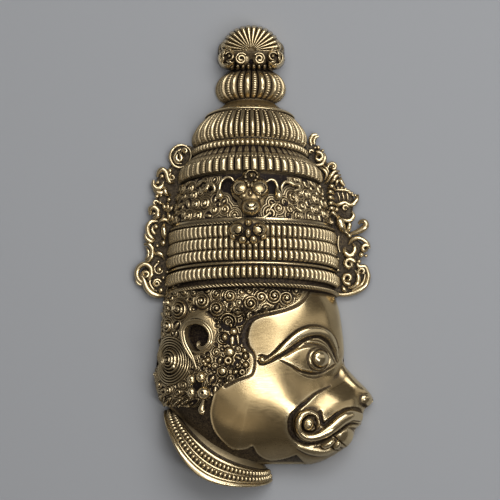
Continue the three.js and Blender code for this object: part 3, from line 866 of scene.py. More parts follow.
@dataclass
class Head:
    """The face from the jaw to the crown, with its features."""

    face: FaceShape
    rows: int = 280
    columns: int = 296
    edge_columns: int = 12
    drop_columns: int = 4
    step: float = 0.42  # how far the neck lies under the cheek's scalloped edge
    edge_lip: float = 0.14  # how far that edge stands out
    ear_sink: float = 2.1  # depth of the ear's hollow
    ridges: tuple[Moulding, ...] = (
        # brow, from the curl at the temple over the eye
        Moulding((
            (2.3, 28.2, 0.3, 0.5), (4.1, 29.3, 0.4, 0.6), (5.6, 30.35, 0.62, 0.75), (7.2, 31.75, 0.9, 0.85),
            (8.7, 33, 1.02, 0.85), (10.2, 33.95, 1.08, 0.85), (11.6, 34.45, 1.1, 0.8),
            (12.9, 34.6, 1.08, 0.75), (14.3, 34.4, 1.02, 0.7), (15.8, 33.65, 0.95, 0.6),
            (17, 32.2, 0.75, 0.45), (17.9, 30.2, 0.45, 0.25),
        ), 0.4, 0.2, 0.26),
        # upper lip, from the front of the mouth back into the coil at its corner
        Moulding((
            (23, 16.1, 1, 0.7), (20.9, 16.6, 1.25, 1), (19.1, 15.9, 1.3, 1.15),
            (17.5, 14.7, 1.3, 1.2), (15.8, 13.4, 1.2, 1.2), (14.4, 12.6, 1.05, 1.2),
            (12.7, 12.15, 0.95, 1.25), (11.1, 12.4, 0.88, 1.3), (9.9, 13.4, 0.85, 1.3),
            (9.45, 14.7, 0.82, 1.3), (9.6, 16, 0.8, 1.25), (10.4, 17, 0.78, 1.2),
            (11.6, 17.4, 0.75, 1.1), (12.8, 17, 0.7, 1), (13.7, 16.1, 0.62, 0.9),
            (13.9, 14.8, 0.5, 0.75), (13.3, 13.8, 0.3, 0.5),
        ), 0.3, 0.22),
        # lids
        Moulding((
            (5.5, 28.75, 0.2, 0.1), (8.1, 27.55, 0.24, 0.14), (9.7, 26.6, 0.26, 0.16),
            (11.6, 26.1, 0.26, 0.14), (13.2, 25.95, 0.24, 0.1), (15, 26.3, 0.2, 0.06),
        )),
        Moulding((
            (9.6, 31.9, 0.3, 0.1), (11.6, 32.35, 0.42, 0.3), (13.6, 32.1, 0.45, 0.35),
            (15.3, 31.1, 0.42, 0.3), (16.6, 29.5, 0.32, 0.25), (17.2, 28.2, 0.2, 0.1),
        ), 0.2, 0.14),
        # lower lip
        Moulding((
            (9.6, 9.9, 0.5, 0.2), (11.4, 9.3, 0.8, 0.5), (13.4, 8.85, 0.9, 0.6), (15.4, 8.8, 0.85, 0.6),
            (17, 9.2, 0.6, 0.4),
        ), 0.1, 0.2),
        # wing of the nose
        Moulding(((21.3, 25, 0.2, 0.03), (22.6, 23.4, 0.22, 0.06), (24, 21.6, 0.2, 0.03))),
    )
    grooves: tuple[Moulding, ...] = (
        # round the brow
        Moulding((
            (1.2, 29.5, 0.2, -0.5), (2.1, 29.5, 0.22, -0.5), (3, 29.2, 0.24, -0.5),
            (4.4, 30.25, 0.24, -0.5), (6, 31.8, 0.24, -0.5), (7.6, 33.3, 0.22, -0.45),
            (9.2, 34.6, 0.2, -0.36), (10.9, 35.45, 0.17, -0.28), (12.6, 35.8, 0.15, -0.24),
            (14.4, 35.5, 0.15, -0.2), (16, 34.6, 0.14, -0.18), (17.5, 32.9, 0.12, -0.14),
            (18.4, 30.8, 0.1, -0.1),
        )),
        Moulding((
            (1, 28.3, 0.2, -0.4), (1.7, 27.5, 0.2, -0.45), (3.3, 27.95, 0.24, -0.5),
            (5.1, 28.95, 0.36, -0.55), (7, 30.2, 0.44, -0.65), (8.6, 31.2, 0.44, -0.65),
            (9.9, 31.95, 0.4, -0.65), (11.3, 32.8, 0.32, -0.6), (12.9, 33.3, 0.3, -0.6),
            (14.3, 33.25, 0.34, -0.65), (15.7, 32.4, 0.4, -0.7), (16.8, 30.9, 0.36, -0.65),
            (17.6, 29.1, 0.3, -0.5), (17.9, 27.9, 0.2, -0.3),
        )),
        # under the lower lid, and its second line
        Moulding((
            (5.8, 28.4, 0.13, -0.2), (8.1, 27.15, 0.18, -0.3), (9.7, 26.2, 0.22, -0.38),
            (11.6, 25.65, 0.26, -0.42), (13.2, 25.5, 0.26, -0.42), (14.7, 25.8, 0.22, -0.35),
            (16.2, 26.6, 0.16, -0.25), (17.4, 27.4, 0.1, -0.15),
        )),
        Moulding((
            (8.4, 26.6, 0.1, -0.1), (10.9, 25.1, 0.14, -0.16), (12.9, 24.65, 0.14, -0.16),
            (14.6, 24.9, 0.1, -0.1),
        )),
        # from beside the nose round the coil and along the mouth
        Moulding((
            (16.4, 22.8, 0.14, -0.15), (14.4, 21.9, 0.22, -0.35), (12.9, 21, 0.3, -0.5),
            (11.2, 19.5, 0.42, -0.7), (9.4, 18, 0.5, -0.9), (8.2, 16.4, 0.6, -1.05),
            (7.95, 14.6, 0.68, -1.15), (8.3, 12.9, 0.7, -1.15), (9.2, 11.5, 0.62, -1.1),
            (10.6, 10.7, 0.5, -1), (12.2, 10.6, 0.45, -0.95), (13.9, 10.8, 0.45, -0.95),
            (15.4, 11.5, 0.42, -0.95), (16.8, 12.35, 0.4, -0.95), (18.3, 13.3, 0.4, -0.9),
            (19.6, 14.25, 0.36, -0.8), (20.9, 14.65, 0.34, -0.6), (22.3, 14.5, 0.3, -0.45),
            (23.2, 14, 0.3, -0.3),
        )),
        # over the lip
        Moulding((
            (14.2, 17.3, 0.5, -0.5), (14.4, 15.9, 0.55, -0.75), (15, 14.75, 0.5, -0.8),
            (16.3, 15.6, 0.55, -0.8), (17.8, 16.9, 0.42, -0.65), (19.3, 17.75, 0.3, -0.5),
            (20.8, 18.1, 0.22, -0.45), (22.2, 18.05, 0.2, -0.4), (23.1, 17.4, 0.2, -0.35),
            (23.5, 16.4, 0.2, -0.3),
        )),
        # inside the coil
        Moulding((
            (13.3, 15.6, 0.14, -0.6), (13, 16.4, 0.16, -0.7), (12, 16.75, 0.18, -0.8),
            (10.9, 16.3, 0.2, -0.9), (10.35, 15.2, 0.24, -1), (10.5, 14, 0.26, -1),
            (11.4, 13.2, 0.26, -1), (12.6, 13.2, 0.22, -0.9), (13.3, 13.9, 0.16, -0.7),
            (13, 14.7, 0.12, -0.5), (12.5, 15.3, 0.1, -0.4),
        )),
        # teeth
        Moulding(((17.1, 12.3, 0.12, -0.5), (18.1, 11.4, 0.13, -0.5), (19.6, 10.1, 0.1, -0.3))),
        Moulding(((16.5, 9.9, 0.12, -0.4), (17.3, 9.35, 0.13, -0.4), (18.2, 8.9, 0.1, -0.25))),
        Moulding((
            (14.1, 9.95, 0.14, -0.3), (15.2, 9.6, 0.16, -0.35), (16.2, 9.8, 0.14, -0.35),
            (17, 10.8, 0.13, -0.35),
        )),
        Moulding(((17.6, 11.2, 0.09, -0.2), (17, 10.2, 0.09, -0.2))),
        # nostril
        Moulding(((23.2, 18.9, 0.2, -0.3), (23.8, 18.5, 0.28, -0.5), (24.6, 18.3, 0.2, -0.3))),
        # hollow between hair and forehead
        Moulding((
            (12.6, 44.2, 0.3, -0.3), (11.4, 42, 0.3, -0.35), (9.8, 40.3, 0.32, -0.4),
            (7.4, 39.2, 0.32, -0.4), (4.6, 38.45, 0.34, -0.45), (1.4, 37.75, 0.4, -0.5),
            (-0.5, 36.8, 0.6, -0.6), (-1.5, 35.2, 0.8, -0.7), (-1.9, 33.3, 0.9, -0.75),
            (-1.3, 31.3, 0.7, -0.6), (0.1, 29.7, 0.35, -0.4), (0.3, 27.4, 0.25, -0.3),
            (-0.5, 25.3, 0.25, -0.3), (-3.3, 24.2, 0.3, -0.35), (-6, 22.9, 0.3, -0.35),
        )),
    )
    knobs: tuple[Mark, ...] = (
        Knob(1.85, 28.6, 0.66, 0.66, 0.7),  # curl at the temple
        Knob(11.7, 14.9, 1.2, 1.4, 1.15, -12),  # middle of the coil
        Knob(24.3, 19.6, 1.5, 1.35, 0.7),  # tip of the nose
        Knob(15.8, 10.8, 1.55, 0.7, 1.1, 30, 0.35),  # teeth
        Knob(17.75, 10.5, 0.6, 1.05, 1, -38, 0.3),
        Knob(19.9, 11.6, 2.1, 2.6, 0.6, 35, 0.5),
    )
    swell: Moulding = Moulding(
        ((20.2, 28.4, 1.6, 0.3), (18.6, 26.6, 2.2, 0.62), (16.6, 24.9, 2.4, 0.5), (14.5, 23.2, 1.8, 0.1)),
        power=2.0,
    )  # soft fill under the eye
    upper_lid: Points = (
        (5.6, 28.6), (7.5, 29.9), (9.4, 31), (11.6, 31.6), (13.6, 31.5), (15.2, 30.8), (16.4, 29.3),
        (17.3, 27.6),
    )
    lower_lid: Points = (
        (5.6, 28.5), (8.1, 27.2), (9.7, 26.3), (11.6, 25.75), (13.2, 25.6), (14.7, 25.9), (16.2, 26.7),
        (17.3, 27.5),
    )

    def relief(self, x: Array, y: Array) -> tuple[Array, Array]:
        """Height of the carved features over the smooth face, and how dark they are with patina and painted
        shade.

        Args:
            x: places across, in shares.
            y: places up, in shares.

        Returns:
            The height and the darkness at each place.
        """
        raised = np.max([ridge.relief(x, y) for ridge in self.ridges], 0) + highest(self.knobs, x, y)
        sunk = np.min([groove.relief(x, y) for groove in self.grooves], 0)
        gap, _, _ = nearest(smooth_path(SCALLOP, 120), x, y)
        under = within((*SCALLOP, (11.5, 0.0), (-30.0, 0.0), (-30.0, 21.6)), x, y)
        lip = self.edge_lip
        sill = lip - (self.step + lip) * ease(gap / 0.2)
        edge = np.where(under, sill, lip * np.exp(-((gap / 0.24) ** 2)))
        ball, ring = self.eyeball(x, y)
        soot = np.maximum(-sunk / 0.42, ring)
        # painted shadow on the neck under the scalloped edge of the cheek
        soot = np.maximum(soot, np.where(under, 0.97 * ease(gap / 0.16), 0.0))
        soot = soot * (1 - 0.85 * ease((raised - 0.25) / 0.4))
        # the ear's hollow is darkened with painted shade
        ear = ease((1.05 - np.hypot((x - EAR[0]) / 2.75, (y - EAR[1]) / 3.5)) / 0.3)
        lift = raised + sunk + edge + ball + self.swell.relief(x, y) - self.ear_sink * ear
        return lift, np.clip(np.maximum(soot, ear), 0, 1)

    def eyeball(self, x: Array, y: Array) -> tuple[Array, Array]:
        """Height of the eye with its white, iris and pupil, and how dark its rings are.

        Args:
            x: places across, in shares.
            y: places up, in shares.

        Returns:
            The height and the grime at each place.
        """
        corner, inner = self.upper_lid[0][0], self.upper_lid[-1][0]
        upper, lower = through(*self.upper_lid), through(*self.lower_lid)
        opened = np.clip(np.minimum(upper(x) - y, y - lower(x)) / 0.5, 0, 1) * (x > corner) * (x < inner)
        white = 0.7 * dome(np.hypot((x - 12.2) / 6.6, (y - 28.5) / 4.4), 0.9)
        out = np.hypot((x - 13.55) / 2.35, (y - 28.6) / 2.55)
        iris = np.where(out < 1, 0.2, 0.0)
        pupil = np.hypot((x - 13.95) / 1.62, (y - 28.75) / 1.78)
        ball = np.where(pupil < 1, 0.75 * dome(pupil, 0.5), 0.0)
        rings = np.exp(-(((out - 0.97) / 0.075) ** 2)) + np.exp(-(((pupil - 1.08) / 0.09) ** 2))
        return opened * (white + iris + ball - 0.45 * rings), opened * rings * 1.1

    def build(self, finishes: Sequence[Material]) -> bpy.types.Object:
        """Builds the face as a wall with its hollow behind.

        Args:
            finishes: finish of the face, then of its hollow.

        Returns:
            The piece.
        """
        near_edge = 0.03  # share of the width that the finer columns cover
        ends = np.linspace(0, near_edge, self.edge_columns, endpoint=False)
        across = np.r_[ends, np.linspace(near_edge, 1 - near_edge, self.columns), 1 - ends[::-1]]
        rise = np.linspace(0, 1, self.drop_columns, endpoint=False)
        across = np.r_[rise * 0, across, rise * 0 + 1]
        upright = np.r_[rise, np.ones(len(across) - 2 * len(rise)), rise[::-1]]
        y = np.linspace(JAW, FACE_TOP, self.rows)[:, None] + 0 * across
        x = mix(self.face.nape(y), self.face.profile(y), across)
        z = self.face.height(x, y) * upright
        outer = np.stack([x, y, z], -1)
        normal = normals(outer)
        lift, soot = self.relief(x, y)
        fade = ease((x - self.face.nape(y)) / 1.0) * ease((self.face.profile(y) - x) / 0.8)
        fade = fade * ease((y - JAW) / 0.4) * upright
        outer = outer + normal * (lift * fade)[..., None]
        outer[..., 2] = np.maximum(outer[..., 2], 0)
        # painted shade: darker where the jaw faces down, and near the back plane
        below = 0.55 * ease((-normal[..., 1] - 0.35) / 0.5) * (y < 12)
        soot = np.maximum(np.maximum(soot, below) * fade, 0.5 * (1 - ease(z / 2.2)))
        y = np.linspace(JAW + WALL, FACE_TOP, 18)[:, None] + 0 * across
        near = [y - WALL, y, y + WALL]
        left = np.max([self.face.nape(v) for v in near], 0) + WALL
        right = np.min([self.face.profile(v) for v in near], 0) - WALL
        x = mix(left, right, across)
        z = np.maximum(self.face.height(x, y) - 1.2 * WALL, 0.2) * upright
        return build("head", wall_form(outer, np.stack([x, y, z], -1), soot), finishes)


@dataclass
class Hair:
    """Curled hair from the crown down to the nape, with the bowl of the ear."""

    face: FaceShape
    rows: int = 262
    columns: int = 290
    bottom: float = 18.3
    top: float = 44.6
    fold: float = -8.0  # x of the line that distances round the head are counted from
    pack_box: tuple[float, float, float, float] = (-14.5, 18.5, 18.3, 44.4)  # where the small curls go
    seed: int = 11
    whorls: Points = (
        (-18, 40.4, 1), (-15.5, 39.1, 2.2), (-10.7, 40.8, 1.75), (-7.7, 42.3, 1), (-7.6, 39.3, 1.75),
        (-4.8, 41.9, 1.4), (-2.5, 42.8, 0.8), (-0.5, 40.4, 1.65), (-0.9, 43, 0.7), (1.7, 41.7, 1.25),
        (1.8, 43.9, 0.9), (4.4, 41.9, 1.7), (6.9, 41.4, 1.6), (9, 42.9, 1.2), (-3.3, 38.6, 1.25),
        (-17.9, 35.6, 1.6), (-17.3, 28.2, 2.9), (-12.4, 42.6, 0.9), (-19, 38, 0.9), (-14.4, 42.9, 1.1),
        (-19.7, 22.9, 0.9), (-17.7, 22, 1.2), (-15.6, 21.5, 1), (-18, 19.7, 1), (-16.2, 19.4, 0.9),
        (-14.2, 19.8, 0.95), (-20.1, 32.2, 1), (-20.6, 25, 0.8), (-5.6, 43.8, 0.8), (4.2, 44.2, 0.8),
        (6.6, 43.8, 0.9),
    )
    bits: tuple[Mark, ...] = (
        # locks beside the forehead
        Hoop(-5.2, 36.6, 1.62, 0.26, 0.95, 75, 250), Hoop(-5.2, 36.5, 1, 0.24, 0.9, 80, 240),
        Knob(-4.6, 35.8, 0.4, 0.5, 0.8), Hoop(-3.1, 37.3, 1.3, 0.24, 0.8, 60, 170),
        Knob(-4.1, 34.5, 0.85, 0.8, 0.9), Knob(-4.4, 32.6, 0.5, 1.1, 0.6, -4, 0.35),
        Knob(-3.2, 32.9, 0.3, 1.2, 0.6, 6, 0.35), Knob(-5.9, 33.3, 0.6, 0.85, 1, 8),
        Hoop(-6.2, 33, 1.1, 0.22, 0.8, 200, 220), Knob(-5, 30.2, 1.05, 1, 0.9, 0, 0.35),
        Hoop(-5.2, 28.4, 0.55, 0.4, 1), Knob(-6.9, 28.4, 0.42, 0.8, 0.9, -24),
        Knob(-1.8, 30.6, 0.68, 0.62, 1), Knob(-1.6, 29.3, 0.5, 0.72, 0.95, 10),
        Knob(-1.55, 27.5, 0.62, 0.66, 1), Hoop(-2.3, 26, 0.42, 0.3, 1),
        Knob(-3.7, 26, 0.7, 0.5, 0.8, 30), Hoop(-3.3, 27.5, 0.6, 0.2, 0.7, -40, 200),
        Hoop(-6.4, 26, 1.02, 0.2, 0.9), Knob(-6.4, 26.2, 0.85, 0.8, 0.9, 0, 0.3),
        Knob(-7, 24.2, 0.42, 0.42, 0.9),
        # bead flower under the ear
        Knob(-9.4, 28.5, 0.56, 0.62, 1), Knob(-10.3, 28.2, 0.5, 0.5, 0.9),
        Knob(-9.9, 27.6, 0.55, 0.5, 1), Knob(-9.1, 27.3, 0.46, 0.46, 0.9),
        # arcs round the large whorl
        Hoop(-17.3, 28.2, 3.3, 0.22, 0.7), Hoop(-17.3, 28.2, 3.85, 0.22, 0.65),
        Hoop(-17.3, 28.2, 4.4, 0.22, 0.6), Hoop(-17.3, 28.2, 4.95, 0.22, 0.5),
        Knob(-16.3, 26.9, 0.6, 0.6, 1.3),
    )

    def right(self, y: Array) -> Array:
        """Where the hair ends towards the face."""
        line = np.array(HAIR_LINE)[::-1]
        return np.where(y < 21.3, -8.1 - 1.1 * (21.3 - y), np.interp(y, line[:, 1], line[:, 0]))

    def build(self, finishes: Sequence[Material]) -> bpy.types.Object:
        """Builds the hair as a raised sheet whose edges run into the head.

        Args:
            finishes: the hair's finish.

        Returns:
            The piece.
        """
        across = np.r_[np.zeros(10), np.linspace(0, 0.08, 40)[:-1], np.linspace(0.08, 1, self.columns - 48)]
        upright = np.r_[np.linspace(0, 1, 11)[:-1], np.ones(len(across) - 10)]
        y = np.linspace(self.bottom, self.top, self.rows)[:, None] + 0 * across
        x = mix(self.face.nape(y), self.right(y), across)
        skin = np.stack([x, y, self.face.height(x, y) * upright], -1)
        normal = normals(skin)
        run = np.cumsum(np.linalg.norm(np.diff(skin, axis=1, prepend=skin[:, :1]), axis=2), 1)
        for i in range(len(run)):
            run[i] -= np.interp(self.fold, x[i], run[i])

        def along(px: float, py: float) -> float:
            """Distance round the head, from the fold, of a place seen from the front.

            Args:
                px: place across, seen from the front.
                py: place up.

            Returns:
                The distance, in shares.
            """
            height = (py - self.bottom) / (self.top - self.bottom)
            i = int(np.clip(height * (self.rows - 1), 0, self.rows - 1))
            return float(np.interp(px, x[i, 9:], run[i, 9:]))

        def allowed(s: float, t: float) -> bool:
            """Tells whether a small curl may stand at a place of the unrolled sheet."""
            return self.pack_box[0] < s < along(float(self.right(np.array(t))), t) - 0.5

        kept: list[Mark] = [
            Curl(along(px, py), py, r, 0.4 + 0.4 * r, k % 2 * 2 - 1, 0.37 * k, 0.66 if r > 1.2 else 0.52)
            for k, (px, py, r) in enumerate(self.whorls)
        ]
        kept += [replace(mark, x=along(mark.x, mark.y)) for mark in self.bits]
        ear_at = along(*EAR)
        rooms = [Knob(ear_at, EAR[1] + 0.4, 3.7, 4.2, 0.0), Knob(along(-12.6, 28.6),
            28.6, 0.8, 1.4, 0.0)]
        rooms += [Knob(along(px, py), py, rx, ry, 0.0) for px, py, rx, ry in EarRing.beads]
        rooms += [Knob(along(-10.7, 18.6), 18.6, 0.8, 1.6, 0.0)]
        curls = packed([*kept, *rooms], allowed, self.pack_box, 0.95, 0.5, self.seed)
        shown = [mark for mark in curls if mark not in rooms]
        rise = np.maximum(highest(shown, run, y), 0.34 * strands(shown, run, y, 0.46))
        bowl = np.hypot((run - ear_at) / 2.95, (y - EAR[1]) / 3.6)
        mound = dome(np.hypot((run - ear_at - 0.5) / 4.2, (y - EAR[1] - 0.6) / 4.9), 0.45)
        inside = ease((1.0 - bowl) / 0.24)
        lift = np.maximum(rise + 0.05, mound) - 1.7 * inside
        # the bowl of the ear is darkened with painted shade
        soot = np.maximum(1 - ease(np.maximum((rise - 0.05) / 0.3, 0.75 * mound)), 0.94 * inside)
        rim = ease((1 - across) / 0.01)[None, :] * ease((y - self.bottom) / 0.25)
        outer = skin + normal * (lift * rim - 0.5 * (1 - rim))[..., None]
        outer[..., 2] = np.maximum(outer[..., 2], 0.02)
        few = np.linspace(0, self.rows - 1, 14).astype(int)
        back = (skin - normal)[few]
        back[:, :, 2] = np.maximum(back[:, :, 2], 0.0)
        return build("hair", wall_form(outer, back, np.maximum(soot, 1 - rim)), finishes)


# Swept wires and beads


def group(name: str, **sockets: str) -> tuple[Tree, Nodes]:
    """Starts a tree of geometry nodes with a geometry going in and out, and a material going in.

    Args:
        name: name of the tree.
        sockets: type of each further input, such as Float, by its name.

    Returns:
        The tree and the helper that adds its nodes.
    """
    tree = bpy.data.node_groups.new(name, "GeometryNodeTree")
    tree.interface.new_socket("Geometry", in_out="OUTPUT", socket_type="NodeSocketGeometry")
    tree.interface.new_socket("Geometry", in_out="INPUT", socket_type="NodeSocketGeometry")
    for label, kind in {**sockets, "Material": "Material"}.items():
        tree.interface.new_socket(label, in_out="INPUT", socket_type="NodeSocket" + kind)
    return tree, Nodes(tree)


def finish_tree(n: Nodes, made: Socket, finish: Socket) -> None:
    """Ends a tree: instances are realized, shaded smooth and given their material.

    Args:
        n: the tree's helper.
        made: geometry to finish.
        finish: the material's input.
    """
    real = n.add("GeometryNodeRealizeInstances", {0: made}).outputs[0]
    smooth = n.add("GeometryNodeSetShadeSmooth", {0: real}).outputs[0]
    dressed = n.add("GeometryNodeSetMaterial", {"Geometry": smooth, "Material": finish}).outputs[0]
    n.add("NodeGroupOutput", {0: dressed})


def wire_tree() -> Tree:
    """Sweeps a round wire along curves, as thick at each point as the curve's radius says.

    Returns:
        The tree.
    """
    tree, n = group("wires", Thickness="Float", Sides="Int")
    into = n.add("NodeGroupInput")
    lines = {"Curve": into.outputs["Geometry"]}
    upright = n.add("GeometryNodeSetCurveNormal", lines, mode="Z_UP").outputs[0]
    ring = n.add("GeometryNodeCurvePrimitiveCircle", {
        "Resolution": into.outputs["Sides"],
        "Radius": into.outputs["Thickness"],
    }).outputs[0]
    sweep = n.add("GeometryNodeCurveToMesh", {
        "Curve": upright,
        "Profile Curve": ring,
        "Scale": n.add("GeometryNodeInputRadius").outputs[0],
        "Fill Caps": True,
    }).outputs[0]
    finish_tree(n, sweep, into.outputs["Material"])
    return tree


def bead_tree() -> Tree:
    """Sets beads on the points of curves, each as large as the curve's radius says.

    Returns:
        The tree.
    """
    tree, n = group("beads", Size="Float", Tall="Float")
    into = n.add("NodeGroupInput")
    round_bead = {"Segments": 12, "Rings": 8, "Radius": into.outputs["Size"]}
    ball = n.add("GeometryNodeMeshUVSphere", round_bead).outputs[0]
    points = n.add("GeometryNodeCurveToPoints", {"Curve": into.outputs["Geometry"]}, mode="EVALUATED")
    size = n.add("GeometryNodeInputRadius").outputs[0]
    tall = n.math("MULTIPLY", size, into.outputs["Tall"])
    shape = n.add("ShaderNodeCombineXYZ", {"X": size, "Y": size, "Z": tall})
    beads = n.add("GeometryNodeInstanceOnPoints", {
        "Points": points.outputs["Points"],
        "Instance": ball,
        "Rotation": points.outputs["Rotation"],
        "Scale": shape.outputs[0],
    }).outputs[0]
    finish_tree(n, beads, into.outputs["Material"])
    return tree


def grown(
    name: str, paths: Sequence[Array], tree: Tree, finish: Material, **values: float
) -> bpy.types.Object:
    """Runs a tree on paths and keeps its mesh as a piece.

    Args:
        name: name of the piece.
        paths: points in shares with the radius in a fourth column, one array for each path.
        tree: the geometry nodes.
        finish: the material.
        values: a value for each further input of the tree, by its name.

    Returns:
        The finished piece.
    """
    data = bpy.data.curves.new(name + "_paths", "CURVE")
    data.dimensions = "3D"
    for path in paths:
        line = data.splines.new("POLY")
        line.points.add(len(path) - 1)
        place = np.column_stack([ORIGIN + path[:, :3] * SHARE, np.ones(len(path))])
        line.points.foreach_set("co", place.ravel().astype(np.float32))
        line.points.foreach_set("radius", path[:, 3].astype(np.float32))
    source = bpy.data.objects.new(name + "_paths", data)
    bpy.context.scene.collection.objects.link(source)
    modifier = source.modifiers.new("grow", "NODES")
    modifier.node_group = tree
    values = {**values, "Material": finish}
    for item in tree.interface.items_tree:
        if item.in_out == "INPUT" and item.name in values:
            modifier[item.identifier] = values[item.name]
    bpy.context.view_layer.update()
    evaluated = source.evaluated_get(bpy.context.evaluated_depsgraph_get())
    mesh = bpy.data.meshes.new_from_object(evaluated)
    bpy.data.objects.remove(source)
    return dress(name, mesh, [finish])


def laid(points: Sequence[Sequence[float]], base: Ground) -> Array:
    """Lays a path on a surface.

    Args:
        points: (x, y, lift, thickness) of the path's corners.
        base: height of the surface at x and y.

    Returns:
        The path as points with their thickness.
    """
    x, y, lift, thick = smooth_path(points, 8 * len(points)).T
    return np.column_stack([x, y, base(x, y) + lift, np.maximum(thick, 0.02)])


# The crown


class Cut(Enum):
    """How a band of the crown is carved."""

    PLAIN = "plain"
    ROPE = "rope"
    RIBS = "ribs"
    NOTCHED = "ribs, every other one notched"
    PETALS = "petals"
    BEADS = "beads"


@dataclass(frozen=True)
class Band:
    """One band round a turned body: its edges along the axis, their radii, and its carving."""

    low: float
    high: float
    r_low: float
    r_high: float
    swell: float = 0.0
    cut: Cut = Cut.PLAIN
    count: int = 0
    deep: float = 0.0
    rows: int = 10
    square: float = 2.0  # how upright the band's two shoulders are
    body: Optional[Curve] = None  # radius along the axis, where the band isn't straight
    grime_and_shade: float = 0.0  # least darkening on it, patina in the grooves and painted shade on the collar's neck band

    def radius(self, angle: Array, at: Array) -> tuple[Array, Array]:
        """Radius of the carved band, and its darkening, patina in the cuts and painted shade at its flanks,
        at angles round the axis and places along it.

        Args:
            angle: angles round the axis.
            at: places along it.

        Returns:
            The radius and the darkening.
        """
        v = np.clip((at - self.low) / (self.high - self.low), 0, 1)
        crown = np.maximum(1 - abs(2 * v - 1) ** self.square, 0) ** (1 / self.square)
        base = (self.body(at) if self.body else mix(self.r_low, self.r_high, v)) + self.swell * crown
        shade = np.maximum((1 - crown) ** 2 * min(1.0, max(self.swell, 0.0) / 0.5), self.grime_and_shade)
        if self.cut is Cut.PLAIN:
            return base + 0 * angle, shade + 0 * angle
        turn = self.count * (angle / np.pi + 0.5)
        if self.cut is Cut.ROPE:
            turn = turn + 1.1 * v
        u = 2 * (turn - np.floor(turn)) - 1
        odd = np.floor(turn) % 2
        rib = np.maximum(1 - abs(u / 0.86) ** 2.4, 0) ** 0.5
        if self.cut is Cut.NOTCHED:
            notch = (0.5 + 0.5 * np.cos(2 * np.pi * v * (self.high - self.low) / 0.5)) * (abs(u) < 0.8)
            dark = np.clip(1.3 * (1 - rib) ** 1.1, 0, 1) + 0.3 * odd * notch
            rib = rib - odd * (0.16 * notch + 0.12)
        if self.cut is Cut.PETALS:
            tip = dome(np.clip(abs(u) ** 1.3 + np.maximum(v - 0.35, 0) * 1.1, 0, 1), 0.5)
            cross = np.minimum(abs(u) / 0.2, abs(v - 0.45) / 0.12)
            rib = tip - 0.4 * np.exp(-(cross**2)) * (tip > 0.2)
        if self.cut is Cut.BEADS:
            rib = dome(np.clip(abs(u) ** 1.2, 0, 1))
        if self.cut is not Cut.NOTCHED:
            dark = 1.3 * (1 - rib) ** 1.1
        cut = (1 - rib) * (0.35 + 0.65 * crown)
        return base - self.deep * cut, np.clip(np.maximum(shade, dark), 0, 1)


def no_bend(at: Array) -> Array:
    """Axis that runs straight."""
    return 0.0 * at


@dataclass
class Turning:
    """A half-round body lying on the back plane: its seat, the lean of its axis, and its depth."""

    x: float
    y: float
    lean: float
    depth: float
    droop: Curve
    bend: Curve = no_bend
    early: float = 0.0  # how much more the body droops near its middle

    def place(self, angle: Array, at: Array, radius: Array) -> Array:
        """Points of the body at angles round the axis and places along it.

        Args:
            angle: angles round the axis, 0 facing up from the ground.
            at: places along the axis.
            radius: radius there.

        Returns:
            The points, with a last axis of 3.
        """
        along = (math.sin(math.radians(self.lean)), math.cos(math.radians(self.lean)))
        side = self.bend(at) + radius * np.sin(angle)
        fall = 1 - np.cos(angle)
        up = at - self.droop(at) * fall * (1 + self.early) / (1 + self.early * fall)
        return np.stack([
            self.x + along[0] * up + along[1] * side,
            self.y + along[1] * up - along[0] * side,
            np.maximum(self.depth * radius * np.cos(angle), 0.0),
        ], -1)

    def banded(
        self, bands: Sequence[Band], columns: int, carving: Optional[Carving] = None
    ) -> tuple[Array, Array]:
        """Grid of points over bands that follow one another, with their darkening by patina and painted
        shade.

        Args:
            bands: the bands from low to high.
            columns: how many columns of points go round.
            carving: more height and grime at angles and places.

        Returns:
            The points, rows by columns by 3, and the darkening, rows by columns.
        """
        angle = np.linspace(-np.pi / 2, np.pi / 2, columns + 1)[None, :]
        rows, soot = [], []
        for band in bands:
            v = 0.5 - 0.5 * np.cos(np.pi * np.linspace(0.04, 0.96, band.rows))
            at = mix(band.low, band.high, v)[:, None]
            radius, shade = band.radius(angle, at)
            if carving:
                more, dark = carving(angle + 0 * at, at + 0 * angle)
                radius, shade = radius + more, np.maximum(shade, dark)
            rows.append(self.place(angle, at + 0 * angle, radius))
            soot.append(shade)
        return np.concatenate(rows), np.concatenate(soot)


CROWN_AXIS = through((43, 0.0), (58, -0.2), (70, -0.6), (82, -0.7), (87, -0.4), (100, -0.4))
CROWN_DROOP = through(
    (43.6, 2.6), (45.8, 2.55), (48.3, 2.4), (51.9, 2.25), (54.4, 2.1), (57.1, 2), (58.3, 1.95),
    (63, 2.1), (67.6, 2.6), (68.6, 3), (73.6, 2.8), (75.6, 2.6), (79.2, 2.4), (82.3, 2.1), (83.6, 1.3),
    (86.6, 1.1), (88.8, 0.9), (91.6, 0.4), (94, 0.4),
)
CROWN_BODY = through(
    (43.6, 17.9), (47.4, 18), (54, 17.8), (58.3, 18), (63, 17), (68.4, 15), (73.8, 12.4),
    (78, 11.5), (81.4, 9.6), (83, 5.6),
)

DOME_BODY = through((75.8, 11.7), (76.5, 12.25), (77.4, 12.45), (78.6, 12.2), (80.0, 11.35), (81.0, 10.4),
    (81.6, 9.7))
BALL_BODY = through((84.1, 5.2), (84.7, 6.45), (85.7, 7.35), (87.0, 7.7), (88.4, 7.35), (89.5, 6.4),
    (90.4, 4.7))


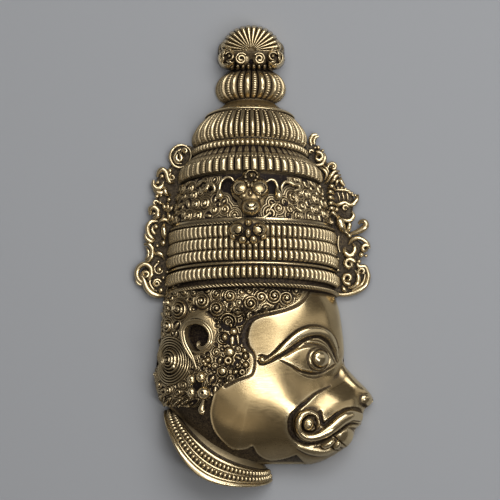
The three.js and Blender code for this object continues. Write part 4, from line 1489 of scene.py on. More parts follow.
@dataclass
class Crown:
    """The tiered crown, from the rope over the forehead up to the ribbed ball."""

    turning: Turning = field(default_factory=lambda: Turning(0, 0, 0, CROWN_DEPTH, CROWN_DROOP, CROWN_AXIS))
    frieze_radius: float = 17.0
    seed: int = 5
    base: tuple[Band, ...] = (
        Band(43.7, 44.1, 16.6, 17.5, grime_and_shade=1.0),
        Band(44.1, 44.9, 17.9, 18.0, 0.6, Cut.ROPE, 66, 0.7, 12),
        Band(44.9, 45.9, 17.8, 17.2, 0.0, rows=7, grime_and_shade=0.5),
        Band(45.9, 48.5, 17.7, 17.6, 1.2, Cut.RIBS, 44, 0.95, 18, 2.6),
        Band(48.5, 48.8, 17.3, 17.3, rows=3, grime_and_shade=0.8),
        Band(48.8, 49.4, 17.6, 17.6, 0.6, rows=7),
        Band(49.4, 49.7, 17.2, 17.2, rows=3, grime_and_shade=0.8),
        Band(49.7, 52.1, 17.5, 17.4, 1.2, Cut.RIBS, 44, 0.95, 18, 2.6),
        Band(52.1, 54.6, 17.2, 17.0, 1.2, Cut.RIBS, 44, 0.85, 16, 3.2),
        Band(54.6, 57.2, 17.0, 17.1, 1.1, Cut.RIBS, 44, 0.8, 16, 3.4),
        Band(57.2, 57.4, 17.1, 17.1, rows=3, grime_and_shade=0.8),
        Band(57.4, 57.9, 17.3, 17.3, 0.6, Cut.ROPE, 66, 0.7, 11),
        Band(57.9, 58.3, 17.2, 17.0, rows=4, grime_and_shade=0.8),
    )
    frieze: tuple[Band, ...] = (
        Band(58.1, 58.6, 17.0, 17.1, rows=3),
        Band(58.6, 67.9, 17.1, 14.7, 0.1, rows=84),
        Band(67.9, 68.4, 14.2, 13.8, rows=4),
    )
    shoulder: tuple[Band, ...] = (
        Band(68.2, 68.6, 14.0, 14.6, rows=3),
        Band(68.6, 71.6, 14.9, 14.4, 1.05, Cut.NOTCHED, 28, 0.95, 26, 2.8),
        Band(71.6, 73.9, 14.6, 12.1, 0.4, Cut.PETALS, 28, 0.85, 20, 2.4),
        Band(73.9, 75.5, 11.6, 11.4, 1.3, Cut.BEADS, 36, 0.9, 14),
        Band(75.5, 75.8, 11.2, 11.3, rows=3),
    )
    dome: tuple[Band, ...] = (
        Band(75.5, 75.8, 11.0, 11.2, rows=3),
        Band(75.8, 81.6, 11.7, 9.7, 0.0, Cut.NOTCHED, 32, 0.95, 66, 5.0, DOME_BODY),
        Band(81.6, 81.9, 9.4, 9.3, rows=3),
        Band(81.9, 82.5, 9.5, 8.9, 0.35, rows=8),
        Band(82.5, 84.0, 8.5, 5.4, -0.35, rows=14),
        Band(84.0, 84.4, 5.2, 4.8, rows=4),
    )
    ball: tuple[Band, ...] = (
        Band(82.6, 83.6, 4.4, 4.8, rows=4),
        Band(84.1, 90.4, 5.6, 4.7, 0.0, Cut.NOTCHED, 14, 1.15, 66, 4.0, BALL_BODY),
        Band(90.4, 91.6, 4.2, 4.7, 0.5, Cut.BEADS, 12, 0.8, 10),
        Band(91.6, 93.5, 4.0, 3.4, rows=5),
    )

    def spot(self, x: float, y: float) -> tuple[float, float]:
        """Place on the unrolled frieze of a point seen from the front."""
        angle = math.asin(max(-1.0, min(1.0, (x - float(CROWN_AXIS(y))) / float(CROWN_BODY(y)))))
        return angle * self.frieze_radius, y + float(CROWN_DROOP(y)) * (1 - math.cos(angle))

    def height(self, x: Array, y: Array) -> Array:
        """Height of the crown's smooth body over the back plane.

        Args:
            x: places across, in shares.
            y: places up, in shares.

        Returns:
            The height at each place.
        """
        at = np.asarray(y, float)
        for _ in range(3):
            side = np.clip((x - CROWN_AXIS(y)) / (CROWN_BODY(at) - 0.1), -1, 1)
            at = y + CROWN_DROOP(at) * (1 - np.sqrt(1 - side**2))
        return CROWN_DEPTH * (CROWN_BODY(at) - 0.1) * np.sqrt(np.maximum(1 - side**2, 0.001))

    def carving(self, angle: Array, at: Array) -> tuple[Array, Array]:
        """Height and grime of the frieze's scrolls.

        Args:
            angle: angles round the axis.
            at: places along it.

        Returns:
            The height and the grime.
        """
        s = angle * self.frieze_radius
        kept: list[Mark] = [
            Curl(*self.spot(x, y), r, rise, hand, start, 0.62)
            for x, y, r, rise, hand, start in (
                (8.8, 62.9, 1.3, 0.85, 1, 0.1), (-10.7, 61.6, 1.3, 0.8, -1, 0.3),
                (-6.2, 60.4, 1.1, 0.7, 1, 0.7), (5.6, 60.6, 1.1, 0.75, -1, 0),
                (-13.2, 63.4, 1.2, 0.7, 1, 0.5), (12, 63.6, 1.2, 0.7, -1, 0.6),
                (-8.6, 60.2, 0.9, 0.7, -1, 0.1), (8.2, 60.4, 0.9, 0.7, 1, 0.4),
                (11, 61, 1, 0.7, 1, 0.8),
            )
        ]
        rooms = [
            Knob(*self.spot(x, y), rx, ry, 0.0)
            for x, y, rx, ry in (
                (-0.6, 63.9, 3.9, 4.6), (-6.3, 65, 1.5, 2.2), (4.9, 65, 1.2, 2.2),
                (-9.8, 64.9, 1.5, 1.1), (8, 65.2, 1.8, 1.1),
            )
        ]
        box = (-26.0, 26.0, 59.2, 67.3)
        full = packed([*kept, *rooms], lambda x, y: True, box, 1.25, 0.6, self.seed, 2500)
        full = [mark for mark in full if mark not in rooms]
        rise = np.maximum(1.15 * highest(full, s, at), 0.28 * strands(full, s, at, 0.5))
        rise = rise * ease((67.9 - at) / 0.4) * ease((at - 58.6) / 0.3)
        return rise, (at > 58.6) * (at < 67.9) * (1 - ease((rise - 0.03) / 0.34))

    def inner(self, low: float, high: float, columns: int) -> Array:
        """Grid of the hollow's wall behind a tier.

        Args:
            low: lowest place along the axis.
            high: highest place.
            columns: columns of the tier.

        Returns:
            The points, rows by columns by 3.
        """
        angle = np.linspace(-np.pi / 2, np.pi / 2, columns + 1)[None, :]
        at = np.linspace(low, high, 7)[:, None] + 0 * angle
        radius = np.maximum(CROWN_BODY(at) - 1.25 * WALL, 0.6)
        return self.turning.place(angle, at + 0.2, radius)

    def build(self, finishes: Sequence[Material]) -> None:
        """Builds the tiers as walls with the hollow behind them, and the ball as a solid.

        Args:
            finishes: finish of the outside, then of the hollow.
        """
        tiers = (
            ("crown_bands", self.base, 528, None, (43.7, 58.3)),
            ("crown_frieze", self.frieze, 448, self.carving, (58.2, 68.4)),
            ("crown_shoulder", self.shoulder, 504, None, (68.2, 75.8)),
            ("crown_dome", self.dome, 448, None, (75.5, 81.6)),
        )
        for name, bands, count, carving, (low, high) in tiers:
            outer, soot = self.turning.banded(bands, count, carving)
            build(name, wall_form(outer, self.inner(low, high, count), soot), finishes)
        outer, soot = self.turning.banded(self.ball, 336)
        ends = [outer[0].mean(0), outer[-1].mean(0)]
        build("crown_ball", ring_form(outer, ends, np.r_[soot.ravel(), 0.5, 0.5]), finishes[:1])


@dataclass(frozen=True)
class Patch:
    """A raised ornament on a surface: a fine grid over a rectangle, closed under the surface."""

    left: float
    right: float
    bottom: float
    top: float
    body: tuple[Mark, ...]
    detail: tuple[Mark, ...] = ()
    carved: tuple[Mark, ...] = ()
    pitch: float = 0.075
    sink: float = 0.5
    grime_and_shade: float = 0.35  # grime between its details
    floor: bool = False  # whether its edges go down to the back plane

    def form(self, base: Ground) -> Form:
        """Makes the ornament on a surface of the given height.

        Args:
            base: height of the surface it stands on.

        Returns:
            The closed form.
        """
        step = self.pitch
        x, y = np.meshgrid(np.arange(self.left, self.right, step), np.arange(self.bottom, self.top, step))
        there = highest(self.body, x, y) > 0.03
        rows = np.flatnonzero(there.any(1))
        x, y = x[rows[0] : rows[-1] + 1], y[rows[0] : rows[-1] + 1]
        there = there[rows[0] : rows[-1] + 1]
        first, last = there.argmax(1), there.shape[1] - 1 - there[:, ::-1].argmax(1)
        share = np.linspace(0, 1, x.shape[1])[None, :]
        first, last = (first - 1.5)[:, None], (last + 1.5)[:, None]
        x = mix(self.left + step * first, self.left + step * last, share)
        body = highest(self.body, x, y)
        more, less = highest(self.detail, x, y), highest(self.carved, x, y)
        ground = base(x, y)
        z = np.maximum(ground + np.where(body > 0.04, body + 1.2 * more - less, -self.sink), 0.05)
        soot = np.maximum(self.grime_and_shade * (1 - ease(more / 0.25)) * (len(self.detail) > 0), ease(less / 0.12))
        soot = np.maximum(soot, 1 - ease((body - 0.05) / 0.3))
        under = 0 * ground if self.floor else np.maximum(ground - self.sink - 0.8, 0)
        back = np.stack([x, y, under], -1)[[0, len(x) // 2, -1]]
        return wall_form(np.stack([x, y, z], -1), back, soot)


@dataclass
class CrownJewels:
    """The grotesque mask on the frieze, the boss under it, and the hooks and ribbons beside them."""

    crown: Crown
    mask: Patch = Patch(-5.4, 4.4, 58.2, 69.2, (
        Knob(-0.65, 64.5, 4.1, 3.1, 1.2, power=0.3), Knob(-0.5, 62.6, 2.9, 3.2, 1.15, power=0.3),
        Knob(-0.45, 60.95, 2.15, 2.1, 1.7, power=0.4), Knob(-0.4, 67.4, 1.9, 1.3, 0.9, power=0.35),
    ), (
        Knob(-2.85, 64.9, 1.6, 1.65, 1.15, power=0.3), Knob(1.5, 64.8, 1.8, 1.75, 1.25, power=0.3),
        Knob(-0.6, 63.2, 1.9, 1.9, 0.7, power=0.3),
        Knob(-1, 65.6, 0.5, 0.85, 1.1, 8), Knob(-0.25, 65.5, 0.45, 0.8, 1.1, -10),
        Knob(-0.6, 63.7, 0.55, 0.8, 1.25), Knob(-2.1, 63.2, 0.9, 0.7, 0.8, 20),
        Knob(1.1, 63, 0.8, 0.6, 0.7, -20), Knob(-0.45, 60.9, 2, 1.85, 0.85, power=0.3),
        Hoop(-0.3, 67.3, 1.35, 0.28, 0.8, 90, 180), Knob(-0.35, 67.5, 0.5, 0.55, 0.9),
        Knob(-1.6, 67.2, 0.42, 0.5, 0.9, 30), Knob(0.95, 67.2, 0.42, 0.5, 0.9, -30),
        Knob(-1.5, 66.3, 0.5, 0.4, 0.8), Knob(0.5, 66.5, 0.5, 0.4, 0.8),
        Knob(-3.6, 66.3, 0.6, 0.4, 0.7, 30), Knob(2.6, 66.3, 0.7, 0.4, 0.7, -30),
    ), (
        Hoop(-2.8, 64.8, 0.85, 0.12, 0.3, 200, 260), Hoop(1.55, 64.75, 1.05, 0.12, 0.3, -20, 270),
        Hoop(-0.45, 61.7, 0.95, 0.14, 0.45, -90, 170), Hoop(-0.45, 61.5, 1.5, 0.12, 0.3, -90, 140),
    ), grime_and_shade=0.12)
    boss: Patch = Patch(-6.0, 4.0, 52.0, 59.1, (
        Knob(-1, 55.6, 4.3, 2.8, 1.4, power=0.35), Knob(-1, 57.7, 0.95, 0.9, 1.5),
    ), (
        Knob(-3.45, 56, 1.5, 1.35, 1, power=0.3), Knob(1.35, 56, 1.5, 1.35, 1, power=0.3),
        Knob(-1, 57.5, 0.75, 0.8, 1.1, power=0.35), Knob(-1.05, 55.3, 0.65, 1.1, 1.3, power=0.35),
        Knob(-2.2, 53.9, 0.85, 0.9, 1.2, power=0.35), Knob(0.1, 53.95, 0.85, 0.9, 1.2, power=0.35),
        Knob(-4.3, 54.5, 0.6, 0.75, 0.8, 30), Knob(2.2, 54.5, 0.6, 0.75, 0.8, -30),
        Knob(-1.05, 53.3, 0.45, 0.5, 0.8),
    ), (
        Hoop(-3.2, 55.9, 0.8, 0.16, 0.5, -70, 240), Hoop(1.1, 55.9, 0.8, 0.16, 0.5, 10, 240),
    ))
    hooks: tuple[Points, ...] = (
        ((-4.1, 66.3, 0.7, 0.2), (-4.7, 67, 0.9, 0.26), (-5.8, 67, 0.9, 0.3), (-6.8, 66, 0.9, 0.3),
         (-7.1, 64.4, 0.9, 0.34), (-7, 63.3, 0.8, 0.85), (-6.8, 62.7, 0.5, 0.6)),
        ((2.8, 66.1, 0.7, 0.2), (3.7, 66.6, 0.9, 0.26), (4.6, 66.3, 0.9, 0.3), (5.1, 65.3, 0.9, 0.3),
         (5.1, 64.4, 0.9, 0.42), (5.4, 63.3, 0.8, 0.85), (5.4, 62.4, 0.5, 0.6)),
        ((0.6, 58.6, 0.5, 0.12), (1.9, 58.5, 0.6, 0.24), (2.9, 59, 0.6, 0.24), (3.5, 59.7, 0.5, 0.18)),
        ((-2.4, 58.6, 0.5, 0.12), (-3.5, 58.5, 0.6, 0.2), (-4.7, 59.1, 0.5, 0.14)),
        ((-11.3, 65, 0.5, 0.14), (-10.9, 64.3, 0.7, 0.34), (-10, 64.6, 0.8, 0.44),
         (-9.3, 65.6, 0.8, 0.42), (-8.4, 65.4, 0.8, 0.38), (-8.1, 64.4, 0.7, 0.32), (-8.7, 63.9, 0.6, 0.3)),
        ((-11.6, 66.2, 0.5, 0.14), (-10.7, 66.4, 0.7, 0.26), (-9.7, 66.4, 0.6, 0.14)),
        ((6.2, 63.9, 0.5, 0.14), (6, 64.9, 0.7, 0.3), (6.6, 66, 0.8, 0.34), (7.6, 66.1, 0.8, 0.34),
         (8.7, 65.6, 0.8, 0.4), (9.7, 65.5, 0.7, 0.34), (9.7, 64.6, 0.7, 0.3), (8.7, 64.3, 0.6, 0.2)),
        ((3.3, 60, 0.5, 0.14), (4.2, 61.2, 0.7, 0.3), (5.2, 61.6, 0.6, 0.14)),
        ((9, 60.8, 0.5, 0.14), (10.2, 60, 0.7, 0.3), (11.2, 60.4, 0.6, 0.14)),
    )

    def build(self, wires: Tree, finish: Material) -> None:
        """Builds the ornaments on the crown's surface.

        Args:
            wires: tree that sweeps wires.
            finish: the ornaments' finish.
        """
        build("frieze_mask", self.mask.form(self.crown.height), [finish])
        build("crown_boss", self.boss.form(self.crown.height), [finish])
        paths = [laid(points, self.crown.height) for points in self.hooks]
        grown("frieze_hooks", paths, wires, finish, Thickness=SHARE, Sides=10)


# The finial


@dataclass
class Finial:
    """The fan shell on top of the ball, between two leafy volutes."""

    x: float = -0.4
    y: float = 94.2
    half_width: float = 6.6
    up: float = 5.75
    down: float = 2.0
    high: float = 5.6
    ribs: int = 16

    def shell(self) -> Form:
        """Makes the ribbed fan.

        Returns:
            The closed form.
        """
        angle = np.linspace(-np.pi, np.pi, 361)[None, :-1] - np.pi / 2
        out = np.r_[np.linspace(0.02, 1.0, 46), 1.0, 1.0][:, None]
        turn = (angle % (2 * np.pi)) / np.pi * (self.ribs - 1) + 0.5
        u = 2 * (turn - np.floor(turn)) - 1
        fan = ease((np.sin(angle) + 0.28) / 0.2)
        groove = (1 - dome(u, 0.5)) * fan * ease((out - 0.05) / 0.14)
        reach = out * (1 - 0.07 * groove)
        tall = np.where(np.sin(angle) > 0, self.up, self.down)
        z = self.high * (1 - 0.1 * out - 0.12 * out**2) * (1 - 0.75 * ease((out - 0.86) / 0.14) ** 2)
        z = z - 0.85 * groove * out**0.5 - 0.3 * ease((0.2 - out) / 0.14)
        z = z + 0 * angle
        z[-2] = z[-3] * 0.45
        z[-1] = 0.0
        x = self.x + self.half_width * reach * np.cos(angle)
        y = self.y + tall * reach * np.sin(angle)
        ends = [[self.x, self.y, self.high - 0.35], [self.x, self.y, 0.0]]
        hub = np.maximum(1 - fan, 1 - ease((out - 0.05) / 0.08))
        dark = np.clip(np.maximum(1.5 * groove**1.1, 0.75 * hub), 0, 1)
        return ring_form(np.stack([x, y, z], -1), ends, np.r_[dark.ravel(), 0.3, 0.5])

    def base(self, x: Array, y: Array) -> Array:
        """Height of the ground that the volutes stand on."""
        out = np.hypot((x - self.x) / 8.0, (y - 92.6) / 3.6)
        return 0.6 + 3.7 * dome(np.clip(out, 0, 1), 0.6)

    def leaves(self) -> Patch:
        """Makes the leafy volutes below the shell, and the drops under it.

        Returns:
            The ornament, closed down to the back plane.
        """
        body, detail = [], []
        for side in (-1, 1):
            cx = self.x + side * 5.2
            body += [Knob(cx + side * 0.3, 94.6, 1.5, 1.9, 1.7, power=0.35)]
            detail += [
                Hoop(cx + side * 0.1, 95.0, 0.9, 0.4, 1.0, 90 - side * 30, 240),
                Knob(cx + side * 0.1, 95.0, 0.4, 0.4, 0.9, power=0.35),
                Knob(cx - side * 1.1, 94.3, 1.3, 0.42, 0.9, side * 30, 0.35),
                Knob(cx + side * 0.7, 93.9, 0.42, 1.0, 0.9, side * 20, 0.35),
            ]
            body += [
                Knob(cx, 92.7, 1.95, 2.2, 1.7, power=0.3),
                Knob(self.x + side * 1.9, 92.5, 1.6, 1.6, 0.9, power=0.3),
            ]
            detail += [
                Hoop(cx - side * 0.5, 93.1, 0.85, 0.4, 0.9, 90 + side * 60, 300),
                Knob(cx - side * 0.5, 93.1, 0.4, 0.4, 0.9, power=0.35),
                Hoop(cx, 92.7, 1.65, 0.4, 0.8, -90 + side * 40, 230),
                Knob(cx - side * 0.9, 91.6, 1.2, 0.42, 0.8, side * 24, 0.35),
                Knob(cx - side * 0.2, 91.0, 1.0, 0.4, 0.7, side * 34, 0.35),
                Knob(cx + side * 0.9, 92.4, 0.4, 1.1, 0.7, side * 10, 0.35),
            ]
        for k in range(8):
            x = self.x + (k - 3.5) * 1.15
            body.append(Knob(x, 90.9, 0.5, 0.75, 1.0))
            detail.append(Knob(x, 90.8, 0.4, 0.6, 0.5))
        return Patch(self.x - 7.6, self.x + 7.4, 89.9, 96.4, tuple(body), tuple(detail), floor=True)

    def build(self, wires: Tree, finish: Material) -> None:
        """Builds the shell, the leaves and the two bright spirals between them.

        Args:
            wires: tree that sweeps wires.
            finish: the finial's finish.
        """
        build("finial_shell", self.shell(), [finish])
        build("finial_leaves", self.leaves().form(self.base), [finish])
        paths = []
        for side in (-1, 1):
            cx = self.x - 0.2 + side * 1.95
            turn = np.linspace(0, 1.75 * 2 * np.pi, 60)
            r, thick = np.linspace(1.25, 0.3, 60), np.linspace(0.17, 0.3, 60)
            angle = np.pi / 2 + side * 0.9 - side * turn
            x, y = cx + r * np.cos(angle), 92.5 + r * np.sin(angle)
            paths.append(np.column_stack([x, y, np.full(60, 5.6), thick]))
        grown("finial_spirals", paths, wires, finish, Thickness=SHARE, Sides=10)


# The wings beside the crown


@dataclass(frozen=True)
class Spiral:
    """A wire that winds in to its middle and rises there."""

    x: float
    y: float
    radius: float
    start: float  # angle where it begins, in degrees
    turns: float  # below 0 for the way of a clock's hands
    thick: float = 0.3
    low: float = 1.1
    high: float = 2.2

    def path(self) -> Array:
        """Points of the wire with its thickness.

        Returns:
            The points, with the thickness in a fourth column.
        """
        count = int(26 * abs(self.turns)) + 6
        t = np.linspace(0, 1, count)
        angle = math.radians(self.start) + 2 * np.pi * self.turns * t
        r = self.radius * (1 - 0.82 * t**0.85)
        wound = np.column_stack([
            self.x + r * np.cos(angle), self.y + r * np.sin(angle), mix(self.low, self.high, t**0.7),
            self.thick * (1 - 0.25 * t + 0.75 * np.maximum(t - 0.86, 0) / 0.14),
        ])
        wound[0, 3] *= 0.4
        return wound


@dataclass
class Wing:
    """Scrollwork beside the crown: wires and beads standing on a low plate."""

    name: str
    inner: Curve  # edge of the plate inside the crown
    outer: Curve  # its free edge
    low: float
    high: float
    spirals: tuple[Spiral, ...]
    wires: tuple[Points, ...]
    beads: Points
    thick: float = 0.95
    bold: float = 1.42  # how much thicker the wires are than drawn

    def plate(self, finish: Material) -> bpy.types.Object:
        """Builds the plate that the scrolls stand on.

        Args:
            finish: its finish.

        Returns:
            The piece.
        """
        y = np.linspace(self.low, self.high, 130)[:, None]
        across = np.r_[np.linspace(0, 0.88, 14), 0.92, 0.95, 0.975, 0.99, 1.0, 1.0][None, :]
        x = mix(self.inner(y), self.outer(y), across)
        round_off = np.r_[np.ones(14), 0.98, 0.92, 0.8, 0.62, 0.4, 0.0][None, :]
        z = self.thick * round_off + 0 * x
        top = np.stack([x, y + 0 * x, z], -1)
        back = np.stack([x, y + 0 * x, 0 * x], -1)
        return build(self.name + "_plate", wall_form(top, back, 0.85 + 0 * x), [finish])

    def build(self, wires: Tree, beads: Tree, finish: Material) -> None:
        """Builds the wing.

        Args:
            wires: tree that sweeps wires.
            beads: tree that sets beads.
            finish: the wing's finish.
        """
        self.plate(finish)
        paths = [s.path() for s in self.spirals] + [laid(points, lambda x, y: 0 * x) for points in self.wires]
        grown(self.name + "_scrolls", paths, wires, finish, Thickness=self.bold * SHARE, Sides=10)
        spots = [np.array([[x, y, 1.2 + 0.6 * r, r]]) for x, y, r in self.beads]
        grown(self.name + "_beads", spots, beads, finish, Size=SHARE, Tall=1.0)


LEFT_WIRES = (
    # double rim of the top roundel
    ((-14.2, 74, 1.3, 0.12), (-15.7, 74.2, 1.4, 0.2), (-17.2, 73.3, 1.4, 0.22), (-17.8, 71.6, 1.4, 0.24),
     (-17, 69.9, 1.4, 0.24), (-15.5, 69.4, 1.4, 0.22), (-14, 70.2, 1.4, 0.2), (-13.3, 71.8, 1.4, 0.2),
     (-13.6, 73.2, 1.4, 0.16), (-14.6, 74.1, 1.4, 0.12)),
    ((-15.4, 73.3, 1.4, 0.1), (-16.4, 72.7, 1.5, 0.16), (-16.9, 71.4, 1.5, 0.18), (-16.4, 70.4, 1.5, 0.16),
     (-15.3, 70.2, 1.4, 0.1)),
    # drop inside it
    ((-16.2, 73, 1.5, 0.14), (-15.6, 72.2, 1.8, 0.24), (-15.3, 71.3, 2, 0.3), (-15.8, 70.8, 2, 0.3),
     (-16.4, 71.2, 2, 0.28), (-16.3, 72.1, 1.8, 0.2)),
    # hood with its long tail
    ((-20.5, 67.4, 1.2, 0.2), (-20.1, 68.6, 1.5, 0.34), (-19.3, 69, 1.7, 0.36), (-18.6, 68.3, 1.7, 0.36),
     (-18.3, 67.2, 1.7, 0.36), (-17.8, 66.3, 1.6, 0.36), (-16.8, 66.2, 1.4, 0.16)),
    # cup with the bead, and the arc under it
    ((-21.3, 66.7, 1.2, 0.2), (-21.3, 65.6, 1.4, 0.36), (-20.5, 64.9, 1.6, 0.4), (-19.6, 65.3, 1.6, 0.38),
     (-19.2, 66.3, 1.4, 0.2)),
    ((-21.3, 64.9, 1.1, 0.16), (-20.7, 64.2, 1.4, 0.34), (-19.6, 64, 1.5, 0.36), (-18.9, 64.9, 1.3, 0.16)),
    ((-18.8, 65.2, 1.4, 0.3), (-18.8, 64.2, 1.7, 0.42), (-18.2, 63.6, 1.5, 0.3), (-17.6, 63.7, 1.3, 0.14)),
    # hook over its blob
    ((-22, 59.3, 1.2, 0.24), (-22, 60.5, 1.5, 0.36), (-21.2, 60.9, 1.7, 0.38), (-20.4, 60.2, 1.7, 0.38),
     (-20.5, 59, 1.6, 0.42), (-21.3, 58.4, 1.4, 0.3)),
    # leaves of the small fans
    ((-19.5, 61.7, 1.5, 0.14), (-19, 61, 1.9, 0.3), (-18.9, 60.1, 1.6, 0.16)),
    ((-18.3, 61.9, 1.5, 0.14), (-18.2, 61, 1.9, 0.3), (-18.5, 60, 1.6, 0.16)),
    ((-17.1, 61.4, 1.5, 0.14), (-17.5, 60.6, 1.9, 0.3), (-18.2, 60, 1.6, 0.16)),
    ((-19.5, 58.4, 1.5, 0.14), (-19, 59.3, 1.7, 0.2)),
    ((-18.3, 59.7, 1.6, 0.14), (-17.9, 58.9, 1.9, 0.32), (-18, 58.1, 1.6, 0.16)),
    ((-17.1, 59.4, 1.6, 0.14), (-17.3, 58.6, 1.9, 0.26), (-17.7, 57.9, 1.6, 0.14)),
    # arched hood over the spindle
    ((-20.3, 57.5, 1.4, 0.16), (-19.6, 58.1, 1.6, 0.28), (-18.6, 58.2, 1.6, 0.28), (-17.9, 57.4, 1.4, 0.14)),
    ((-19.1, 57.3, 1.5, 0.2), (-19.1, 56.2, 2, 0.42), (-18.95, 55, 2, 0.42), (-18.9, 53.9, 1.5, 0.12)),
    # double C beside it
    ((-20.5, 57.9, 1.3, 0.16), (-21.8, 57.8, 1.5, 0.32), (-22.6, 56.7, 1.6, 0.34), (-22.4, 55.2, 1.6, 0.36),
     (-21.5, 54.2, 1.5, 0.3), (-20.9, 54.2, 1.3, 0.14)),
    ((-21.4, 56.9, 1.4, 0.12), (-21.6, 56, 1.6, 0.24), (-21.1, 55.3, 1.6, 0.24), (-20.5, 55.3, 1.4, 0.12)),
    ((-23.1, 55.2, 1.2, 0.2), (-22.8, 54.2, 1.4, 0.32), (-22, 53.6, 1.5, 0.32), (-21, 53.7, 1.3, 0.14)),
    # crescent
    ((-23.3, 52.9, 1.2, 0.2), (-22.3, 52.9, 1.5, 0.36), (-21.6, 52, 1.6, 0.36), (-21.6, 50.7, 1.6, 0.36),
     (-22.2, 49.6, 1.5, 0.34), (-23.1, 49.2, 1.2, 0.2)),
    ((-22.9, 52.3, 1.2, 0.12), (-22.4, 51.3, 1.4, 0.26), (-22.6, 50.2, 1.4, 0.22), (-23.1, 49.7, 1.2, 0.12)),
    ((-21.2, 50.6, 1.3, 0.14), (-20.4, 51, 1.6, 0.34), (-19.5, 50.7, 1.6, 0.34), (-19, 49.7, 1.4, 0.14)),
    # large spiral with its second rim and its tail
    ((-23.6, 44.6, 1.2, 0.3), (-24.6, 45.6, 1.3, 0.4), (-24.9, 46.9, 1.4, 0.4), (-24.3, 48.2, 1.5, 0.4),
     (-23.1, 48.7, 1.6, 0.4), (-22, 48, 1.7, 0.4), (-21.7, 46.7, 1.7, 0.36), (-22.2, 45.7, 1.7, 0.3),
     (-22.4, 45.3, 1.6, 0.2)),
    ((-25.1, 45.4, 1, 0.2), (-24.7, 44.6, 1.1, 0.26), (-23.9, 44.2, 1.1, 0.2)),
    ((-23.5, 46, 1.6, 0.2), (-23.2, 44.8, 1.6, 0.42), (-22.7, 43.5, 1.6, 0.48), (-21.7, 42.5, 1.5, 0.5),
     (-20.3, 42, 1.3, 0.42), (-18.7, 41.9, 1.1, 0.16)),
    ((-22, 45.4, 1.5, 0.14), (-22.1, 44.6, 1.6, 0.2), (-21.4, 43.4, 1.5, 0.2), (-20.6, 42.9, 1.3, 0.12)),
)
LEFT_WING = Wing(
    "left_wing",
    through((42, -16), (57, -16), (62, -15.2), (66, -13.8), (70, -12.4), (73, -11.6),
            (74.1, -13.6)),
    through((42, -18.8), (42.8, -21.2), (44, -22.6), (46, -24), (47.4, -23.8), (48.6, -22.6),
            (50, -21.9), (52, -21.8), (54, -22), (56, -22.3), (58, -21.3), (60, -21.5),
            (62, -20.8), (64, -20.5), (66, -20.8), (68, -20), (69.2, -18.2), (70.4, -17.4),
            (71.6, -17.8), (73, -17.3), (74.1, -16)),
    42,
    74.1,
    (
        Spiral(-14.6, 72.9, 0.7, 200, -1.1, 0.2, 1.6, 2.4),
        Spiral(-17.3, 67.3, 0.85, 100, 1.2, 0.24, 1.4, 2.2),
        Spiral(-22.9, 46.4, 1, 250, -1.25, 0.3, 1.4, 2.3),
        Spiral(-20.6, 44.6, 0.95, 0, 1.6, 0.22, 1.4, 2.1),
        Spiral(-20.9, 61.8, 0.62, 0, 1.1, 0.2, 1.5, 2),
        Spiral(-20, 47.5, 1.5, 90, 1, 0.2, 1.2, 1.4),
    ),
    LEFT_WIRES,
    (
        (-17.8, 68.7, 0.6), (-19.5, 67.5, 0.5), (-20.4, 66.2, 0.42), (-20.6, 63.2, 0.5),
        (-19.7, 63.4, 0.36), (-18, 62.5, 0.52), (-19.9, 61.8, 0.45), (-21.2, 59.5, 0.42),
        (-20.8, 56.7, 0.58), (-19.2, 53.2, 0.7), (-20, 47.5, 0.62), (-19.7, 43.1, 0.6),
        (-20.5, 52.6, 0.4), (-19.2, 45.8, 0.42), (-18.4, 47, 0.4), (-18.2, 50.9, 0.4),
        (-18.6, 44.3, 0.4), (-14.7, 72.6, 0.4), (-20.3, 49.2, 0.4),
    ),
)
